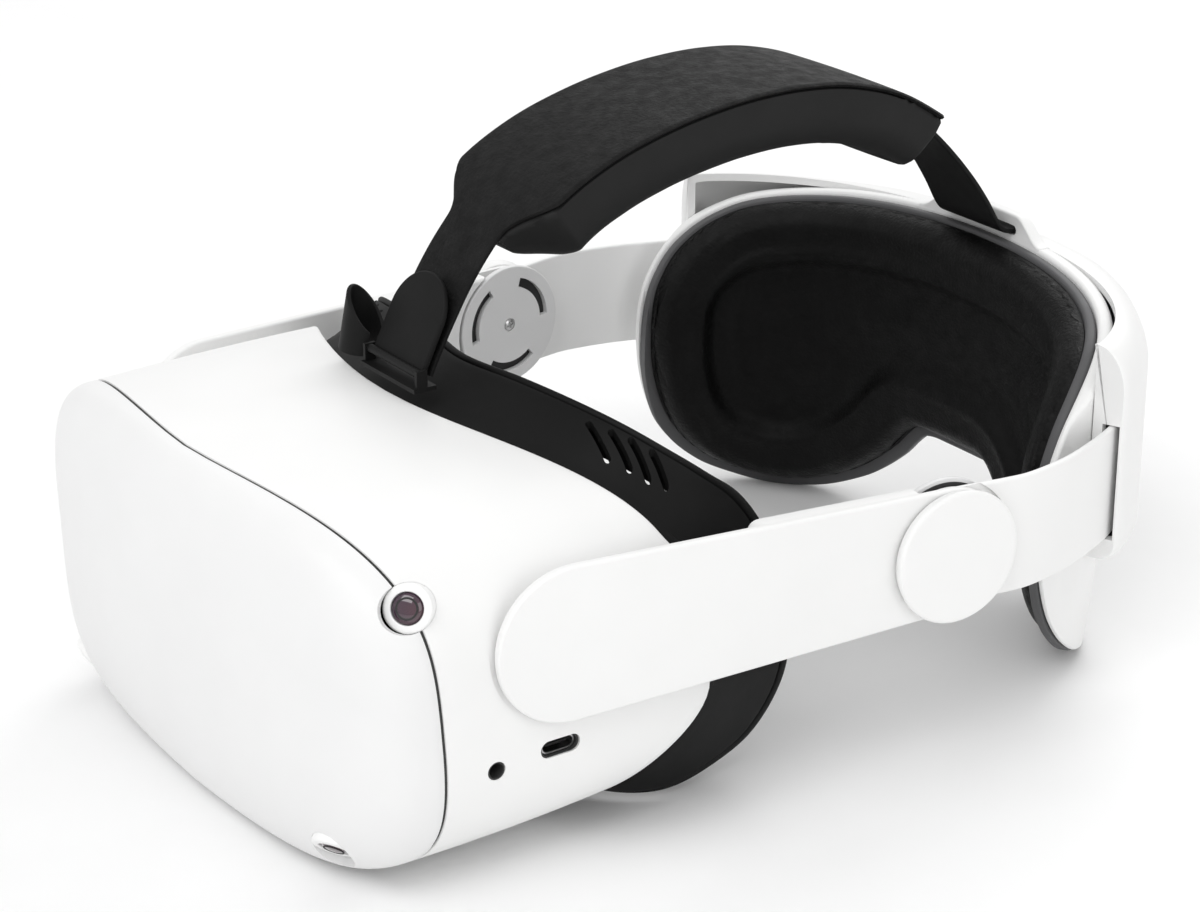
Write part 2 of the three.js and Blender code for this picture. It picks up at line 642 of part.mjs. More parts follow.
/** Bending end of the band, which narrows inside the cradle to reach its rack. */
function bandTail(level) {
  const narrowing = (x) => smooth((88 - x) / 26);
  const sections = bandSections(BAND_END_Y + 1.2, 300, 1.6, (x) => mix(BAND_HALF_HEIGHT, 3.2, narrowing(x)));
  for (const section of sections) {
    const shift = (level - BAND_Z) * narrowing((section[0].x + section[1].x) / 2);
    for (const p of section) p.z += shift;
  }
  return skin(sections);
}

function addArms() {
  for (const [label, side] of SIDES) {
    const front = sideGroup(PIVOT, side);
    add(`pivot_post_${label}`, sided(pivotPost(), side), blackPlastic(), front);
    add(`side_arm_${label}`, sided(sideArm(), side), whitePlastic(), front);
    const rear = sideGroup(HUB, side);
    add(`hub_cap_${label}`, sided(hubCap(), side), whitePlastic(), rear);
    add(`hub_plate_${label}`, sided(hubPlate(), side), greyPlastic(), rear);
    add(`hub_screw_${label}`, sided(hubScrew(), side), steel(), rear);
    add(`rear_band_${label}`, sided(rearBand(), side), whitePlastic());
    add(`band_tail_${label}`, sided(bandTail(DIAL_Z + side * RACK_LEVEL), side), whitePlastic());
  }
}

// ---------------------------------------------------------------- cradle
/** Face surface in plan, with the distance walked and the direction out at each point. */
const CRADLE_LINE = Array.from({ length: 181 }, (_, i) => {
  const q = (i / 180) * (Math.PI / 2);
  const x = CRADLE.halfWidth * Math.sin(q) ** (2 / CRADLE.power);
  return v3(x, CRADLE.y + CRADLE.depth * Math.abs(Math.cos(q)) ** (2 / CRADLE.power), 0);
}).map((p, i, line) => {
  const before = i > 0 ? line[i - 1] : v3(-line[1].x, line[1].y, 0);
  const run = (line[i + 1] ?? p).clone().sub(before).normalize();
  return { p, out: v3(-run.y, run.x, 0), step: i > 0 ? p.distanceTo(before) : 0 };
});
CRADLE_LINE.forEach((at, i) => {
  at.walked = at.step + (i > 0 ? CRADLE_LINE[i - 1].walked : 0);
});

/** Point on the cradle: distance outside the face surface, length walked from the middle, height. */
function onCradle(offset, s, z) {
  const walked = Math.abs(s);
  const next = Math.max(1, CRADLE_LINE.findIndex((at) => at.walked >= walked));
  const [from, to] = [CRADLE_LINE[next - 1], CRADLE_LINE[next]];
  const t = (walked - from.walked) / (to.walked - from.walked);
  const out = from.out.clone().lerp(to.out, t).normalize();
  const point = from.p.clone().lerp(to.p, t).addScaledVector(out, offset);
  return v3(Math.sign(s) * point.x, point.y, z);
}

/** Upper and lower edge of the pad against the length walked, with a notch between two lobes at the nape. */
const PAD_TOP = [[0, 52], [19, 51.7], [39, 50.8], [57, 49.4], [73, 47.3], [85, 44.8], [93, 41.7], [101, 37.1],
  [108.7, 30.2], [113.6, 22.5], [116.4, 14.6], [117.4, 3]];
const PAD_BOTTOM = [[0, -17], [14, -17], [19.4, -18.5], [24.4, -22.9], [29.3, -28.5], [38.9, -36.6],
  [48, -41.8], [57, -45.6], [66, -47.6], [74.4, -48.1], [82.7, -47], [93, -43.7], [100, -39.8],
  [107.3, -33.1],
  [112.9, -23.8], [116.6, -10.5], [117.4, 0]];
const PAD_END = 117.4;

function edgeAt(list, s) {
  const at = Math.abs(s);
  const next = Math.max(1, list.findIndex(([a]) => a >= at));
  const [[a0, z0], [a1, z1]] = [list[next - 1], list[next]];
  return mix(z0, z1, clamp01((at - a0) / (a1 - a0)));
}

/** Curved plate over the pad's outline, grown above and at its ends by grow and below by drop. */
function cradlePlate(grow, drop, section, steps = 32) {
  const end = PAD_END + grow;
  const reach = 0.985; // the stations crowd towards the ends
  const sections = Array.from({ length: steps + 1 }, (_, i) => {
    const turn = (Math.PI / 2) * reach;
    const s = (end * Math.sin(((i / steps) * 2 - 1) * turn)) / Math.sin(turn);
    const inner = (s * PAD_END) / end;
    return section(s, edgeAt(PAD_TOP, inner) + grow, edgeAt(PAD_BOTTOM, inner) - drop);
  });
  return skin(sections);
}

const ringSection = (inner, outer) => (s, top, bottom) => [
  ...[0, 0.5, 1].map((t) => onCradle(outer, s, mix(bottom, top, t))),
  ...[1, 0.5, 0].map((t) => onCradle(inner, s, mix(bottom, top, t))),
];

function cradlePad() {
  return cradlePlate(0, 0, (s, top, bottom) => {
    const edge = Math.min(4, (top - bottom) / 4);
    const low = bottom + edge;
    const high = top - edge;
    return [onCradle(-0.3, s, bottom), onCradle(-0.3, s, mix(bottom, top, 0.5)), onCradle(-0.3, s, top),
      onCradle(-4, s, top), onCradle(-8.5, s, high), onCradle(-8, s, mix(low, high, 0.67)),
      onCradle(-8, s, mix(low, high, 0.33)), onCradle(-8.5, s, low), onCradle(-4, s, bottom)];
  });
}

function cradleShell() {
  const wing = (s) => mix(8, 5.6, smooth((Math.abs(s) - HOUSING_END) / 9));
  const plateBody = cradlePlate(2.4, 3, (s, top, bottom) => {
    const outer = wing(s);
    return [onCradle(5.2, s, bottom), onCradle(outer, s, mix(bottom, top, 0.45)), onCradle(outer, s, top),
      onCradle(3.6, s, top), onCradle(3.6, s, mix(bottom, top, 0.5)), onCradle(3.6, s, bottom)];
  });
  const ear = skin([-1, -0.5, 0, 0.5, 1].map((t) => {
    const s = t * EAR.half;
    return [onCradle(3.8, s, 48), onCradle(7.8, s, 48), onCradle(7.8, s, EAR.top), onCradle(3.8, s, EAR.top)];
  }));
  const slot = box(-EAR.slotHalf, EAR.slotHalf, 262, 290, EAR.slotLow, EAR.slotHigh);
  return cut(join(plateBody, ear), slot);
}

/** Closed body of the cradle's housing, drawn in by inset, with a broad upper shoulder. */
function housingBody(end, inner, inset) {
  const foot = 5 - inset;
  const { across, down } = SHOULDER;
  const bottom = HOUSING.bottom + inset;
  const top = HOUSING.top - inset;
  const steps = 24;
  return skin(Array.from({ length: steps + 1 }, (_, i) => {
    const t = (i / steps) * 2 - 1;
    const s = end * t;
    const near = clamp01((Math.abs(t) - 0.94) / 0.06);
    const out = mix(HOUSING.outer, HOUSING.outerAtEnd, smooth((Math.abs(s) - 30) / 45)) - inset
      - 2 * (1 - Math.sqrt(1 - near ** 2 * 0.95));
    const shoulder = [0, 30, 60, 90].map((degrees) =>
      onCradle(out - across * (1 - Math.cos(rad(degrees))), s, top - down * (1 - Math.sin(rad(degrees)))));
    return [onCradle(inner, s, bottom), onCradle(out - foot, s, bottom),
      onCradle(out - foot * 0.3, s, bottom + foot * 0.3), onCradle(out, s, bottom + foot), ...shoulder,
      onCradle(inner, s, top)];
  }));
}

function cradleCover() {
  const body = housingBody(HOUSING_END, HOUSING.inner, 0);
  const hollow = housingBody(HOUSING_END - HOUSING.wall, HOUSING.inner - 3, HOUSING.wall);
  const { near, far, low, high } = MOUTH;
  const mouth = skin([HOUSING_END - 4, HOUSING_END + 5].map((s) =>
    [[near, low], [far, low], [far, high], [near, high]].map(([offset, z]) => onCradle(offset, s, z))));
  const boss = rod('y', BOSS_RADIUS, 292.5, KNOB.y0 - GAP, 0, DIAL_Z, 28);
  const shaftHole = rod('y', SHAFT_RADIUS + 0.1, 279, 320, 0, DIAL_Z);
  return cut(join(cut(body, hollow), boss), mouth, mirrored(mouth), shaftHole);
}

/** Straight rack behind the cradle's plate, with its teeth towards the pinion. */
const PITCH_RADIUS = (PINION.teeth * PINION.module) / 2;
const RACK_LEVEL = PITCH_RADIUS + 3.6;

function rack() {
  const pitch = Math.PI * PINION.module;
  const line = PITCH_RADIUS;
  const lean = Math.tan(rad(20));
  const half = (depth) => pitch / 4 - BACKLASH / 2 - depth * lean;
  const shape = new THREE.Shape();
  shape.moveTo(RACK.inner, line + 1.25 + RACK.bar);
  shape.lineTo(RACK.inner, line + 1.25);
  const first = Math.ceil((RACK.inner + 2) / pitch);
  const last = Math.floor((RACK.outer - 12) / pitch);
  for (let k = first; k <= last; k += 1) {
    const x = k * pitch;
    shape.lineTo(x - half(-1.2), line + 1.2);
    shape.lineTo(x - half(0.9), line - 0.9);
    shape.lineTo(x + half(0.9), line - 0.9);
    shape.lineTo(x + half(-1.2), line + 1.2);
  }
  shape.lineTo(RACK.outer, line + 1.25);
  shape.lineTo(RACK.outer, line + 1.25 + RACK.bar);
  return moved(plate(shape, RACK.y0, RACK.y1), 0, 0, DIAL_Z);
}

/** Involute pinion, with a tooth space straight up so that it meets the rack's middle tooth. */
function pinionOutline() {
  const base = PITCH_RADIUS * Math.cos(rad(20));
  const tip = PITCH_RADIUS + 0.9;
  const rootRadius = PITCH_RADIUS - 1.15;
  const involute = (r) => Math.sqrt(Math.max(0, (r / base) ** 2 - 1)) - Math.acos(Math.min(1, base / r));
  const halfPitch = Math.PI / (2 * PINION.teeth) - BACKLASH / (4 * PITCH_RADIUS);
  const halfAngle = (r) => halfPitch + involute(PITCH_RADIUS) - involute(Math.max(r, base));
  const radii = [rootRadius, mix(base, tip, 0.4), tip];
  const shape = new THREE.Shape();
  for (let k = 0; k < PINION.teeth; k += 1) {
    const middle = Math.PI / 2 + ((k + 0.5) * 2 * Math.PI) / PINION.teeth;
    const flank = (r, sign) => {
      const a = middle + sign * halfAngle(r);
      return [r * Math.cos(a), r * Math.sin(a)];
    };
    const points = [...radii.map((r) => flank(r, -1)), ...[...radii].reverse().map((r) => flank(r, 1))];
    for (const [x, z] of points) {
      if (k === 0 && shape.curves.length === 0 && shape.currentPoint.length() === 0) shape.moveTo(x, z);
      else shape.lineTo(x, z);
    }
  }
  return shape;
}

function dialPinion() {
  const gear = moved(plate(pinionOutline(), RACK.y0 - 0.4, RACK.y1 + 0.4), 0, 0, DIAL_Z);
  return join(gear, rod('y', SHAFT_RADIUS, RACK.y1, KNOB.y1 - 2.4, 0, DIAL_Z));
}

function dialKnob() {
  const shape = new THREE.Shape();
  const count = KNOB.grips * 3;
  for (let i = 0; i <= count; i += 1) {
    const a = (i / count) * 2 * Math.PI;
    const r = KNOB.radius + 0.5 * Math.cos(a * KNOB.grips);
    if (i === 0) shape.moveTo(r, 0);
    else shape.lineTo(r * Math.cos(a), r * Math.sin(a));
  }
  const body = moved(plate(shape, KNOB.y0, KNOB.y1), 0, 0, DIAL_Z);
  return cut(body, rod('y', SHAFT_RADIUS + 0.1, 284.5, KNOB.y1 - 2, 0, DIAL_Z));
}

function addCradle() {
  add('cradle_pad', cradlePad(), leatherette());
  add('cradle_rim', cradlePlate(1.2, 3.7, ringSection(0.2, 3.3)), rimPlastic());
  add('cradle_shell', cradleShell(), whitePlastic());
  add('cradle_cover', cradleCover(), whitePlastic());
  add('dial_pinion', dialPinion(), blackPlastic());
  add('dial_knob', dialKnob(), blackPlastic());
  add('rack_left', rack(), blackPlastic());
  add('rack_right', moved(rack(), 0, 0, 2 * DIAL_Z, 0, Math.PI, 0), blackPlastic());
}

// ---------------------------------------------------------------- top strap
/** Upper face of the strap in the (Y, Z) plane, from its front loop to the rear end of its pad. */
const STRAP_PATH = [[69.3, 54.5], [72, 60], [77, 69], [82.5, 78], [89, 86.5], [97.5, 95.5], [108, 103],
  [122, 109.5], [137, 114], [152, 117], [168, 118.8], [186, 119], [204, 116.8], [222, 111.2], [238, 102],
  [248, 94]];
const REAR_STRAP_PATH = [[222, 108.6], [232, 103.3], [240, 97.8], [248, 91], [255, 84], [262, 75.7],
  [267.7, 67.7], [271.8, 60.9], [274.4, 57.7], [277.4, 56.6], [281, 56.4], [285, 56.4]];

function strapCurve(path) {
  return new THREE.CatmullRomCurve3(path.map(([y, z]) => v3(0, y, z)), false, 'centripetal');
}

/** Sections across a strap curve between two places in Y; its width and two faces are functions of y. */
function strapSolid(path, y0, y1, half, low, high, steps) {
  const curve = strapCurve(path);
  const stations = Array.from({ length: steps + 1 }, (_, i) => i / steps)
    .filter((t) => curve.getPointAt(t).y >= y0 && curve.getPointAt(t).y <= y1);
  return skin(stations.map((t) => {
    const p = curve.getPointAt(t);
    const along = curve.getTangentAt(t);
    const up = v3(0, -along.z, along.y);
    const w = half(p.y);
    const side = (x, h) => v3(x, p.y, p.z).addScaledVector(up, h);
    return [side(-w, low(p.y)), side(w, low(p.y)), side(w, high(p.y)), side(-w, high(p.y))];
  }));
}

const strapHalf = (y) => 12.5 + 12.5 * smooth((y - 91.5) / 13);

function strapBand() {
  return strapSolid(STRAP_PATH, 60, STRAP_END_Y, strapHalf, () => -STRAP_WALL, () => 0, 28);
}

/** Cushion under the strap; its rear end steps down to leave a pocket for the rear strap. */
function strapCushion() {
  const end = STRAP_END_Y - 1.5;
  const fromEnd = (y) => Math.min((y - PAD_FRONT_Y + 3) / 14, (end + 4 - y) / 10);
  const half = (y) => Math.min(PAD_HALF, strapHalf(y + 1.5));
  const high = (y) => -STRAP_WALL - GAP - 3 * smooth((y - 212) / 8);
  const low = (y) => -STRAP_WALL - PAD_THICKNESS * Math.sqrt(clamp01(fromEnd(y)));
  return strapSolid(STRAP_PATH, PAD_FRONT_Y, end, half, low, high, 40);
}

const rearStrap = () => strapSolid(REAR_STRAP_PATH, 200, 290, (y) => mix(12.5, 14.5, smooth((y - 250) / 25)),
  () => -1.4, () => 0, 26);

/** Bracket on the face frame: the strap's front end turns round its bar. */
function strapAnchor() {
  const half = 13.9;
  const base = box(-half, half, 63.4, 70.5, 50.9, 52.1);
  const ear = box(half - 1.1, half, 64.3, 67.7, 51.5, 57);
  return join(base, ear, mirrored(ear), rod('x', 1.2, 0.5 - half, half - 0.5, 66, 55.6, 16));
}

/** Free end of the strap, folded back up in front of it, with a round tip. */
function strapTab() {
  const shape = new THREE.Shape();
  const start = Math.asin(2.5 / (TAB_HALF + 0.2));
  shape.moveTo(-TAB_HALF, 0);
  shape.lineTo(TAB_HALF, 0);
  shape.lineTo(TAB_HALF, 16);
  shape.absarc(0, 13.5, TAB_HALF + 0.2, start, Math.PI - start, false);
  shape.lineTo(-TAB_HALF, 0);
  return moved(plate(shape, 0, 1.5, 16), 0, 66.6, 57.2, -0.46);
}

/** Guide beside the strap: a leaning tube with a slit along it and a slanting mouth. */
function strapGuide() {
  const steps = 20;
  return skin(Array.from({ length: steps + 1 }, (_, i) => {
    const a = rad(mix(10, 340, i / steps));
    const height = GUIDE.height + GUIDE.slant * Math.cos(a - rad(204));
    const lean = (z) => v3(GUIDE.x + z * 0.1, GUIDE.y + z * 0.14, GUIDE.z + z);
    const at = (r, z) => lean(z).add(v3(r * Math.cos(a), r * 0.8 * Math.sin(a), 0));
    return [at(GUIDE.radius, 0), at(GUIDE.radius, height), at(GUIDE.radius - GUIDE.wall, height),
      at(GUIDE.radius - GUIDE.wall, 0)];
  }));
}

function addTopStrap() {
  add('strap_anchor', strapAnchor(), blackPlastic());
  add('top_strap', strapBand(), leatherette());
  add('top_strap_cushion', strapCushion(), softBlack());
  add('top_strap_tab', strapTab(), softBlack());
  add('rear_strap', rearStrap(), softBlack());
  add('strap_guide', strapGuide(), softBlack());
}

// ---------------------------------------------------------------- assembly
add('front_cover', frontCover(), whitePlastic());
add('body_shell', bodyShell(), whitePlastic());
add('chassis', chassis(), blackPlastic());
add('face_frame', faceFrame(), blackPlastic());
add('face_cushion', faceCushion(), softBlack());
addCameras();
addElectronics();
addOptics();
addPortsAndButtons();
addArms();
addCradle();
addTopStrap();

export default root;
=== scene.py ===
"""The looks of a standalone VR headset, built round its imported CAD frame.

Lengths are in millimetres in the design axes of the part: +X to the wearer's left, +Y from the front cover to
the back of the head, +Z up. TO_ROW carries them into the frame, in metres.
"""
from math import asin, atan, copysign, cos, exp, pi, radians, sin, sqrt, tan
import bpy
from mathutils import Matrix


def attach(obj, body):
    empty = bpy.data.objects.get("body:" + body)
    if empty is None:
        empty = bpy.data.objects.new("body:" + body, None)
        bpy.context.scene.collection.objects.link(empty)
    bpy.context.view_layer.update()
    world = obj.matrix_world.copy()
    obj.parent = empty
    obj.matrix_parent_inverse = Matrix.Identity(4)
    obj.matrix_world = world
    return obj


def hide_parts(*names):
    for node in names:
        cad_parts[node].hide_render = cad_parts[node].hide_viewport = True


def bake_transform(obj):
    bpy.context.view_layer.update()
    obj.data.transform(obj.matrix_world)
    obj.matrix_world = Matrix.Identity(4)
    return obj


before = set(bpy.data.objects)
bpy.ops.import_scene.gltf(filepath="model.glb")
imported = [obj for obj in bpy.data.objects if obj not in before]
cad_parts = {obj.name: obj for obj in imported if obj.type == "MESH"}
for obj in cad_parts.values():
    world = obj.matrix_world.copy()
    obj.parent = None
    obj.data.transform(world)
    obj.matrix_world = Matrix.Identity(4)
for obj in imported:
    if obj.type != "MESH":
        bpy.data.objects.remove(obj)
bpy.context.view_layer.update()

from types import SimpleNamespace as Sizes

import bmesh
import bpy
import numpy as np
from mathutils import Matrix, Vector

# ---- driving dimensions
REST_TILT = -0.0142
MID_Y = 148.58
FLOOR_Z = -55.4
TO_ROW = (Matrix.Scale(0.001, 4) @ Matrix.Translation((0, -MID_Y, -FLOOR_Z))
          @ Matrix.Rotation(REST_TILT, 4, "X"))
SIDES = (("left", 1), ("right", -1))
SAME_POINT = 1e-6

MID_Z = -2
# outlines of the seam and of the visor's rear edge: half width, heights and superellipse powers
SEAM = Sizes(half=93, up=48.65, down=53.7, power_up=3.42, power_down=4.04)
REAR = Sizes(half=94, up=50, down=48.5, power_up=3.3, power_down=4.65)
COVER_FRONT, COVER_POWER, COVER_WALL = -8.3, 2.78, 2.2
BODY_WALL, BODY_SWELL, SEAM_GAP = 3, 0.7, 0.9
RECESS_GAP, RECESS_DEPTH = 0.9, 3.5
AROUND = 240

ARM_TILT = atan(0.104)  # the arms spread apart towards the back
PIVOT = Vector((98.8, 57, 12.2))
HUB = Vector((115, 170.8, 12.2))
ARM = Sizes(front=21.7, rear=18.2, reach=114.4, thin=2.8, wall=7, eye=2.2)
HUB_RADIUS, CAP_WALL, CAP_TAPER = 19.5, 3.8, 1.4
BAND_FACE, BAND_WALL, PLATE_FACE, PLATE_WALL = -7, 2, -9.3, 1.8
BAND_HALF, BAND_Z = 17, 12.4

CRADLE = Sizes(y=205, half=93, depth=69.5, power=2.3)  # the pad's face surface in plan, a superellipse
HOUSING_END = 103  # length walked along that curve
HOUSING = Sizes(top=53, bottom=-11.5, outer=22.5, outer_end=18.4, inner=8.3, wall=2.2, foot=5)
SHOULDER = Sizes(across=9.5, down=14)
KNOB = Sizes(low=299.1, radius=19.4, grips=36)
BOSS = Sizes(radius=17, low=292.5, high=298.8)
DIAL_Z = 10
EYE_X, BARREL_RADIUS = 31.5, 21
STRAP_WALL, STRAP_END_Y, STRAP_NARROW = 1.3, 240, 12.5
PAD_THICKNESS, PAD_FRONT_Y, PAD_HALF = 17.2, 92, 24.5
GUIDE = Sizes(x=-22.1, y=68.2, z=52.2, radius=7.1, wall=1.4, height=11.2, slant=6.2)


def clamp(value, low=0.0, high=1.0):
    return min(high, max(low, value))


def smooth(value):
    value = clamp(value)
    return value * value * (3 - 2 * value)


def mix(a, b, t):
    return a + (b - a) * t


# ---- materials
def material(name, roughness, metallic=0.0, **shader):
    mat = bpy.data.materials.new(name)
    mat.use_nodes = True
    principled = mat.node_tree.nodes["Principled BSDF"]
    principled.inputs["Roughness"].default_value = roughness
    principled.inputs["Metallic"].default_value = metallic
    for socket, value in shader.items():
        principled.inputs[socket.replace("_", " ")].default_value = value
    return mat


def node(mat, kind, **settings):
    made = mat.node_tree.nodes.new(kind)
    for key, value in settings.items():
        if key in made.inputs:
            made.inputs[key].default_value = value
        else:
            setattr(made, key, value)
    return made


def link(mat, source, target):
    mat.node_tree.links.new(source, target)


def coordinates(mat, scale=(1, 1, 1)):
    """Object coordinates in metres, stretched by scale."""
    place = node(mat, "ShaderNodeMapping")
    place.inputs["Scale"].default_value = scale
    link(mat, node(mat, "ShaderNodeTexCoord").outputs["Object"], place.inputs["Vector"])
    return place.outputs["Vector"]


def noise(mat, vector, scale, detail=4.0, roughness=0.55, distortion=0.0):
    made = node(mat, "ShaderNodeTexNoise", Scale=scale, Detail=detail, Roughness=roughness,
                Distortion=distortion)
    link(mat, vector, made.inputs["Vector"])
    return made.outputs["Fac"]


def ramp(mat, factor, stops):
    made = node(mat, "ShaderNodeValToRGB")
    elements = made.color_ramp.elements
    while len(elements) < len(stops):
        elements.new(0.5)
    for element, (position, colour) in zip(elements, stops):
        element.position = position
        element.color = (*colour, 1) if len(colour) == 3 else colour
    link(mat, factor, made.inputs["Fac"])
    return made.outputs["Color"]


def grey(value):
    return (value, value, value)


def bump(mat, height, strength, distance, after=None):
    made = node(mat, "ShaderNodeBump", Strength=strength, Distance=distance)
    link(mat, height, made.inputs["Height"])
    if after is not None:
        link(mat, after, made.inputs["Normal"])
    return made.outputs["Normal"]


def finish_material(mat, colour=None, roughness=None, normal=None):
    principled = mat.node_tree.nodes["Principled BSDF"]
    for socket, source in (("Base Color", colour), ("Roughness", roughness), ("Normal", normal)):
        if source is not None:
            link(mat, source, principled.inputs[socket])
    return mat


def plastic(name, dark, light, rough, grain=1500, depth=0.00001, **shader):
    """Moulded plastic: slow colour and gloss variation under a fine spark-eroded grain."""
    mat = material(name, rough, **shader)
    vector = coordinates(mat)
    slow = noise(mat, vector, 14, 3)
    fine = noise(mat, vector, grain, 2, 0.6)
    colour = ramp(mat, slow, [(0.3, dark), (0.7, light)])
    gloss = ramp(mat, noise(mat, vector, 60, 5, 0.65), [(0.3, grey(rough - 0.05)), (0.7, grey(rough + 0.06))])
    return finish_material(mat, colour, gloss, bump(mat, fine, 0.35, depth))


def leather(name, dark, light, rough, pores=900, crease=0.35):
    """Leatherette: pebbled cells, fine creases that run across the strap, and a soft sheen."""
    mat = material(name, rough, Specular_IOR_Level=0.16)
    vector = coordinates(mat)
    cells = node(mat, "ShaderNodeTexVoronoi", Scale=pores, feature="SMOOTH_F1")
    link(mat, vector, cells.inputs["Vector"])
    creases = noise(mat, coordinates(mat, (1.0, 5.0, 5.0)), 170, 5, 0.7, 0.8)
    fold = ramp(mat, creases, [(0.42, grey(0.0)), (0.5, grey(1.0)), (0.58, grey(0.0))])
    colour = ramp(mat, noise(mat, vector, 90, 6, 0.6), [(0.3, dark), (0.72, light)])
    gloss = ramp(mat, noise(mat, vector, 240, 4), [(0.3, grey(rough - 0.1)), (0.7, grey(rough + 0.1))])
    normal = bump(mat, cells.outputs["Distance"], 0.5, 0.00025)
    normal = bump(mat, fold, crease, 0.00018, normal)
    return finish_material(mat, colour, gloss, normal)


WHITE = plastic("white_plastic_look", (0.83, 0.83, 0.825), (0.87, 0.87, 0.865), 0.42, Specular_IOR_Level=0.4)
WHITE_COVER = plastic("white_cover_look", grey(0.8), grey(0.84), 0.48, Specular_IOR_Level=0.4)
BEZEL_WHITE = plastic("white_bezel_look", (0.86, 0.86, 0.855), (0.9, 0.9, 0.895), 0.3)
HUB_GREY = plastic("grey_plastic_look", (0.74, 0.74, 0.74), (0.78, 0.78, 0.78), 0.45)
# Painted shade: the rim is the white shell's flange round the pad, coloured the dark grey it shows in shadow.
RIM_PAINTED_SHADE = plastic("rim_painted_shade_look", (0.085, 0.085, 0.088), (0.11, 0.11, 0.113), 0.5,
                   Specular_IOR_Level=0.3)
BLACK = plastic("black_plastic_look", grey(0.004), grey(0.007), 0.5, grain=2200, depth=0.00002,
                Specular_IOR_Level=0.2)
SOFT_BLACK = plastic("soft_black_look", grey(0.0045), grey(0.0075), 0.6, grain=2600, depth=0.00002,
                     Specular_IOR_Level=0.16)
GRAIN = leather("grain_leather_look", grey(0.003), grey(0.007), 0.62)
PAD_LEATHER = leather("pad_leather_look", grey(0.0025), grey(0.005), 0.5, pores=1100, crease=0.25)
STRAP_SIDE = plastic("strap_side_look", grey(0.010), grey(0.014), 0.6, grain=1800, depth=0.00003,
                     Specular_IOR_Level=0.2)
FACE_FOAM = plastic("face_foam_look", grey(0.004), grey(0.007), 0.6, grain=1900, depth=0.00003,
                    Specular_IOR_Level=0.2)
# Dark seam colour, also used as painted shade on the sheets inside the housing mouths.
SEAM_DARK_AND_SHADE = plastic("seam_dark_and_shade_look", grey(0.012), grey(0.03), 0.6)


def metal(name, light, rough):
    mat = material(name, rough, 1.0)
    brushed = noise(mat, coordinates(mat, (1, 40, 1)), 300, 3)
    colour = ramp(mat, brushed, [(0.3, grey(light - 0.08)), (0.7, grey(light))])
    return finish_material(mat, colour, None, bump(mat, brushed, 0.1, 0.00002))


def circuit(name):
    """Green board: a copper track pattern under solder mask."""
    mat = material(name, 0.4)
    bricks = node(mat, "ShaderNodeTexBrick", Scale=140, offset=0.37)
    bricks.inputs["Color1"].default_value = (0.006, 0.07, 0.03, 1)
    bricks.inputs["Color2"].default_value = (0.01, 0.11, 0.05, 1)
    bricks.inputs["Mortar"].default_value = (0.02, 0.17, 0.07, 1)
    link(mat, coordinates(mat), bricks.inputs["Vector"])
    return finish_material(mat, bricks.outputs["Color"], None, bump(mat, bricks.outputs["Fac"], 0.2, 0.00005))


def coated_glass(name, inner, edge):
    """Dark coated glass whose tint drifts at random between an inner and an edge colour."""
    mat = material(name, 0.04, Coat_Weight=1.0, Coat_Roughness=0.02, Specular_IOR_Level=0.7)
    tint = ramp(mat, noise(mat, coordinates(mat), 60, 2), [(0.35, inner), (0.65, edge)])
    return finish_material(mat, tint)


STEEL = metal("steel_look", 0.62, 0.28)
FOIL = metal("foil_look", 0.5, 0.42)
BOARD = circuit("circuit_look")
CAMERA_GLASS = coated_glass("camera_glass_look", (0.006, 0.006, 0.03), (0.05, 0.008, 0.02))
LENS_GLASS = coated_glass("lens_glass_look", (0.012, 0.014, 0.03), (0.03, 0.02, 0.05))

SLOT_LOOKS = {"white_plastic": (WHITE, WHITE_COVER, BEZEL_WHITE), "grey_plastic": (HUB_GREY,),
              "rim_plastic": (RIM_PAINTED_SHADE,), "black_plastic": (BLACK, SEAM_DARK_AND_SHADE),
              "soft_black": (SOFT_BLACK, FACE_FOAM), "leatherette": (GRAIN, PAD_LEATHER),
              "lining": (STRAP_SIDE,), "steel": (STEEL,),
              "lens_glass": (CAMERA_GLASS, LENS_GLASS)}
SLOT_OF = {mat.name: slot for slot, looks in SLOT_LOOKS.items() for mat in looks}


# ---- mesh building
def skin(sections, ring=False, closed=True, capped=True):
    """Points and faces of a surface through equal-length rows of points."""
    count = len(sections[0])
    points = [p for row in sections for p in row]
    faces = []
    spans = len(sections) if ring else len(sections) - 1
    edges = count if closed else count - 1
    for s in range(spans):
        here, there = s * count, ((s + 1) % len(sections)) * count
        for k in range(edges):
            after = (k + 1) % count
            faces.append((here + k, here + after, there + after, there + k))
    if not ring and closed and capped:
        for start in (0, (len(sections) - 1) * count):
            middle = sum((Vector(p) for p in points[start:start + count]), Vector()) / count
            points.append(middle)
            faces += [(start + k, start + (k + 1) % count, len(points) - 1) for k in range(count)]
    return points, faces


def place_data(name, data):
    """New object of the scene that holds a mesh, a camera or a light."""
    obj = bpy.data.objects.new(name, data)
    bpy.context.scene.collection.objects.link(obj)
    return obj


def build(name, shape, place=Matrix()):
    """Object whose mesh is in the frame, from design points and faces."""
    points, faces = shape
    mesh = bpy.data.meshes.new(name)
    mesh.from_pydata([TO_ROW @ (place @ Vector(p)) for p in points], [], faces)
    clean(mesh)
    return place_data(name, mesh)


def clean(mesh):
    """Merges doubled points and turns the faces outwards."""
    bm = bmesh.new()
    bm.from_mesh(mesh)
    bmesh.ops.remove_doubles(bm, verts=bm.verts, dist=SAME_POINT)
    bmesh.ops.recalc_face_normals(bm, faces=bm.faces)
    if bm.calc_volume(signed=True) < 0:
        bmesh.ops.reverse_faces(bm, faces=bm.faces)
    bm.to_mesh(mesh)
    bm.free()


def bake(obj):
    """Applies the modifiers."""
    bpy.context.view_layer.update()
    graph = bpy.context.evaluated_depsgraph_get()
    mesh = bpy.data.meshes.new_from_object(obj.evaluated_get(graph))
    obj.modifiers.clear()
    obj.data = mesh


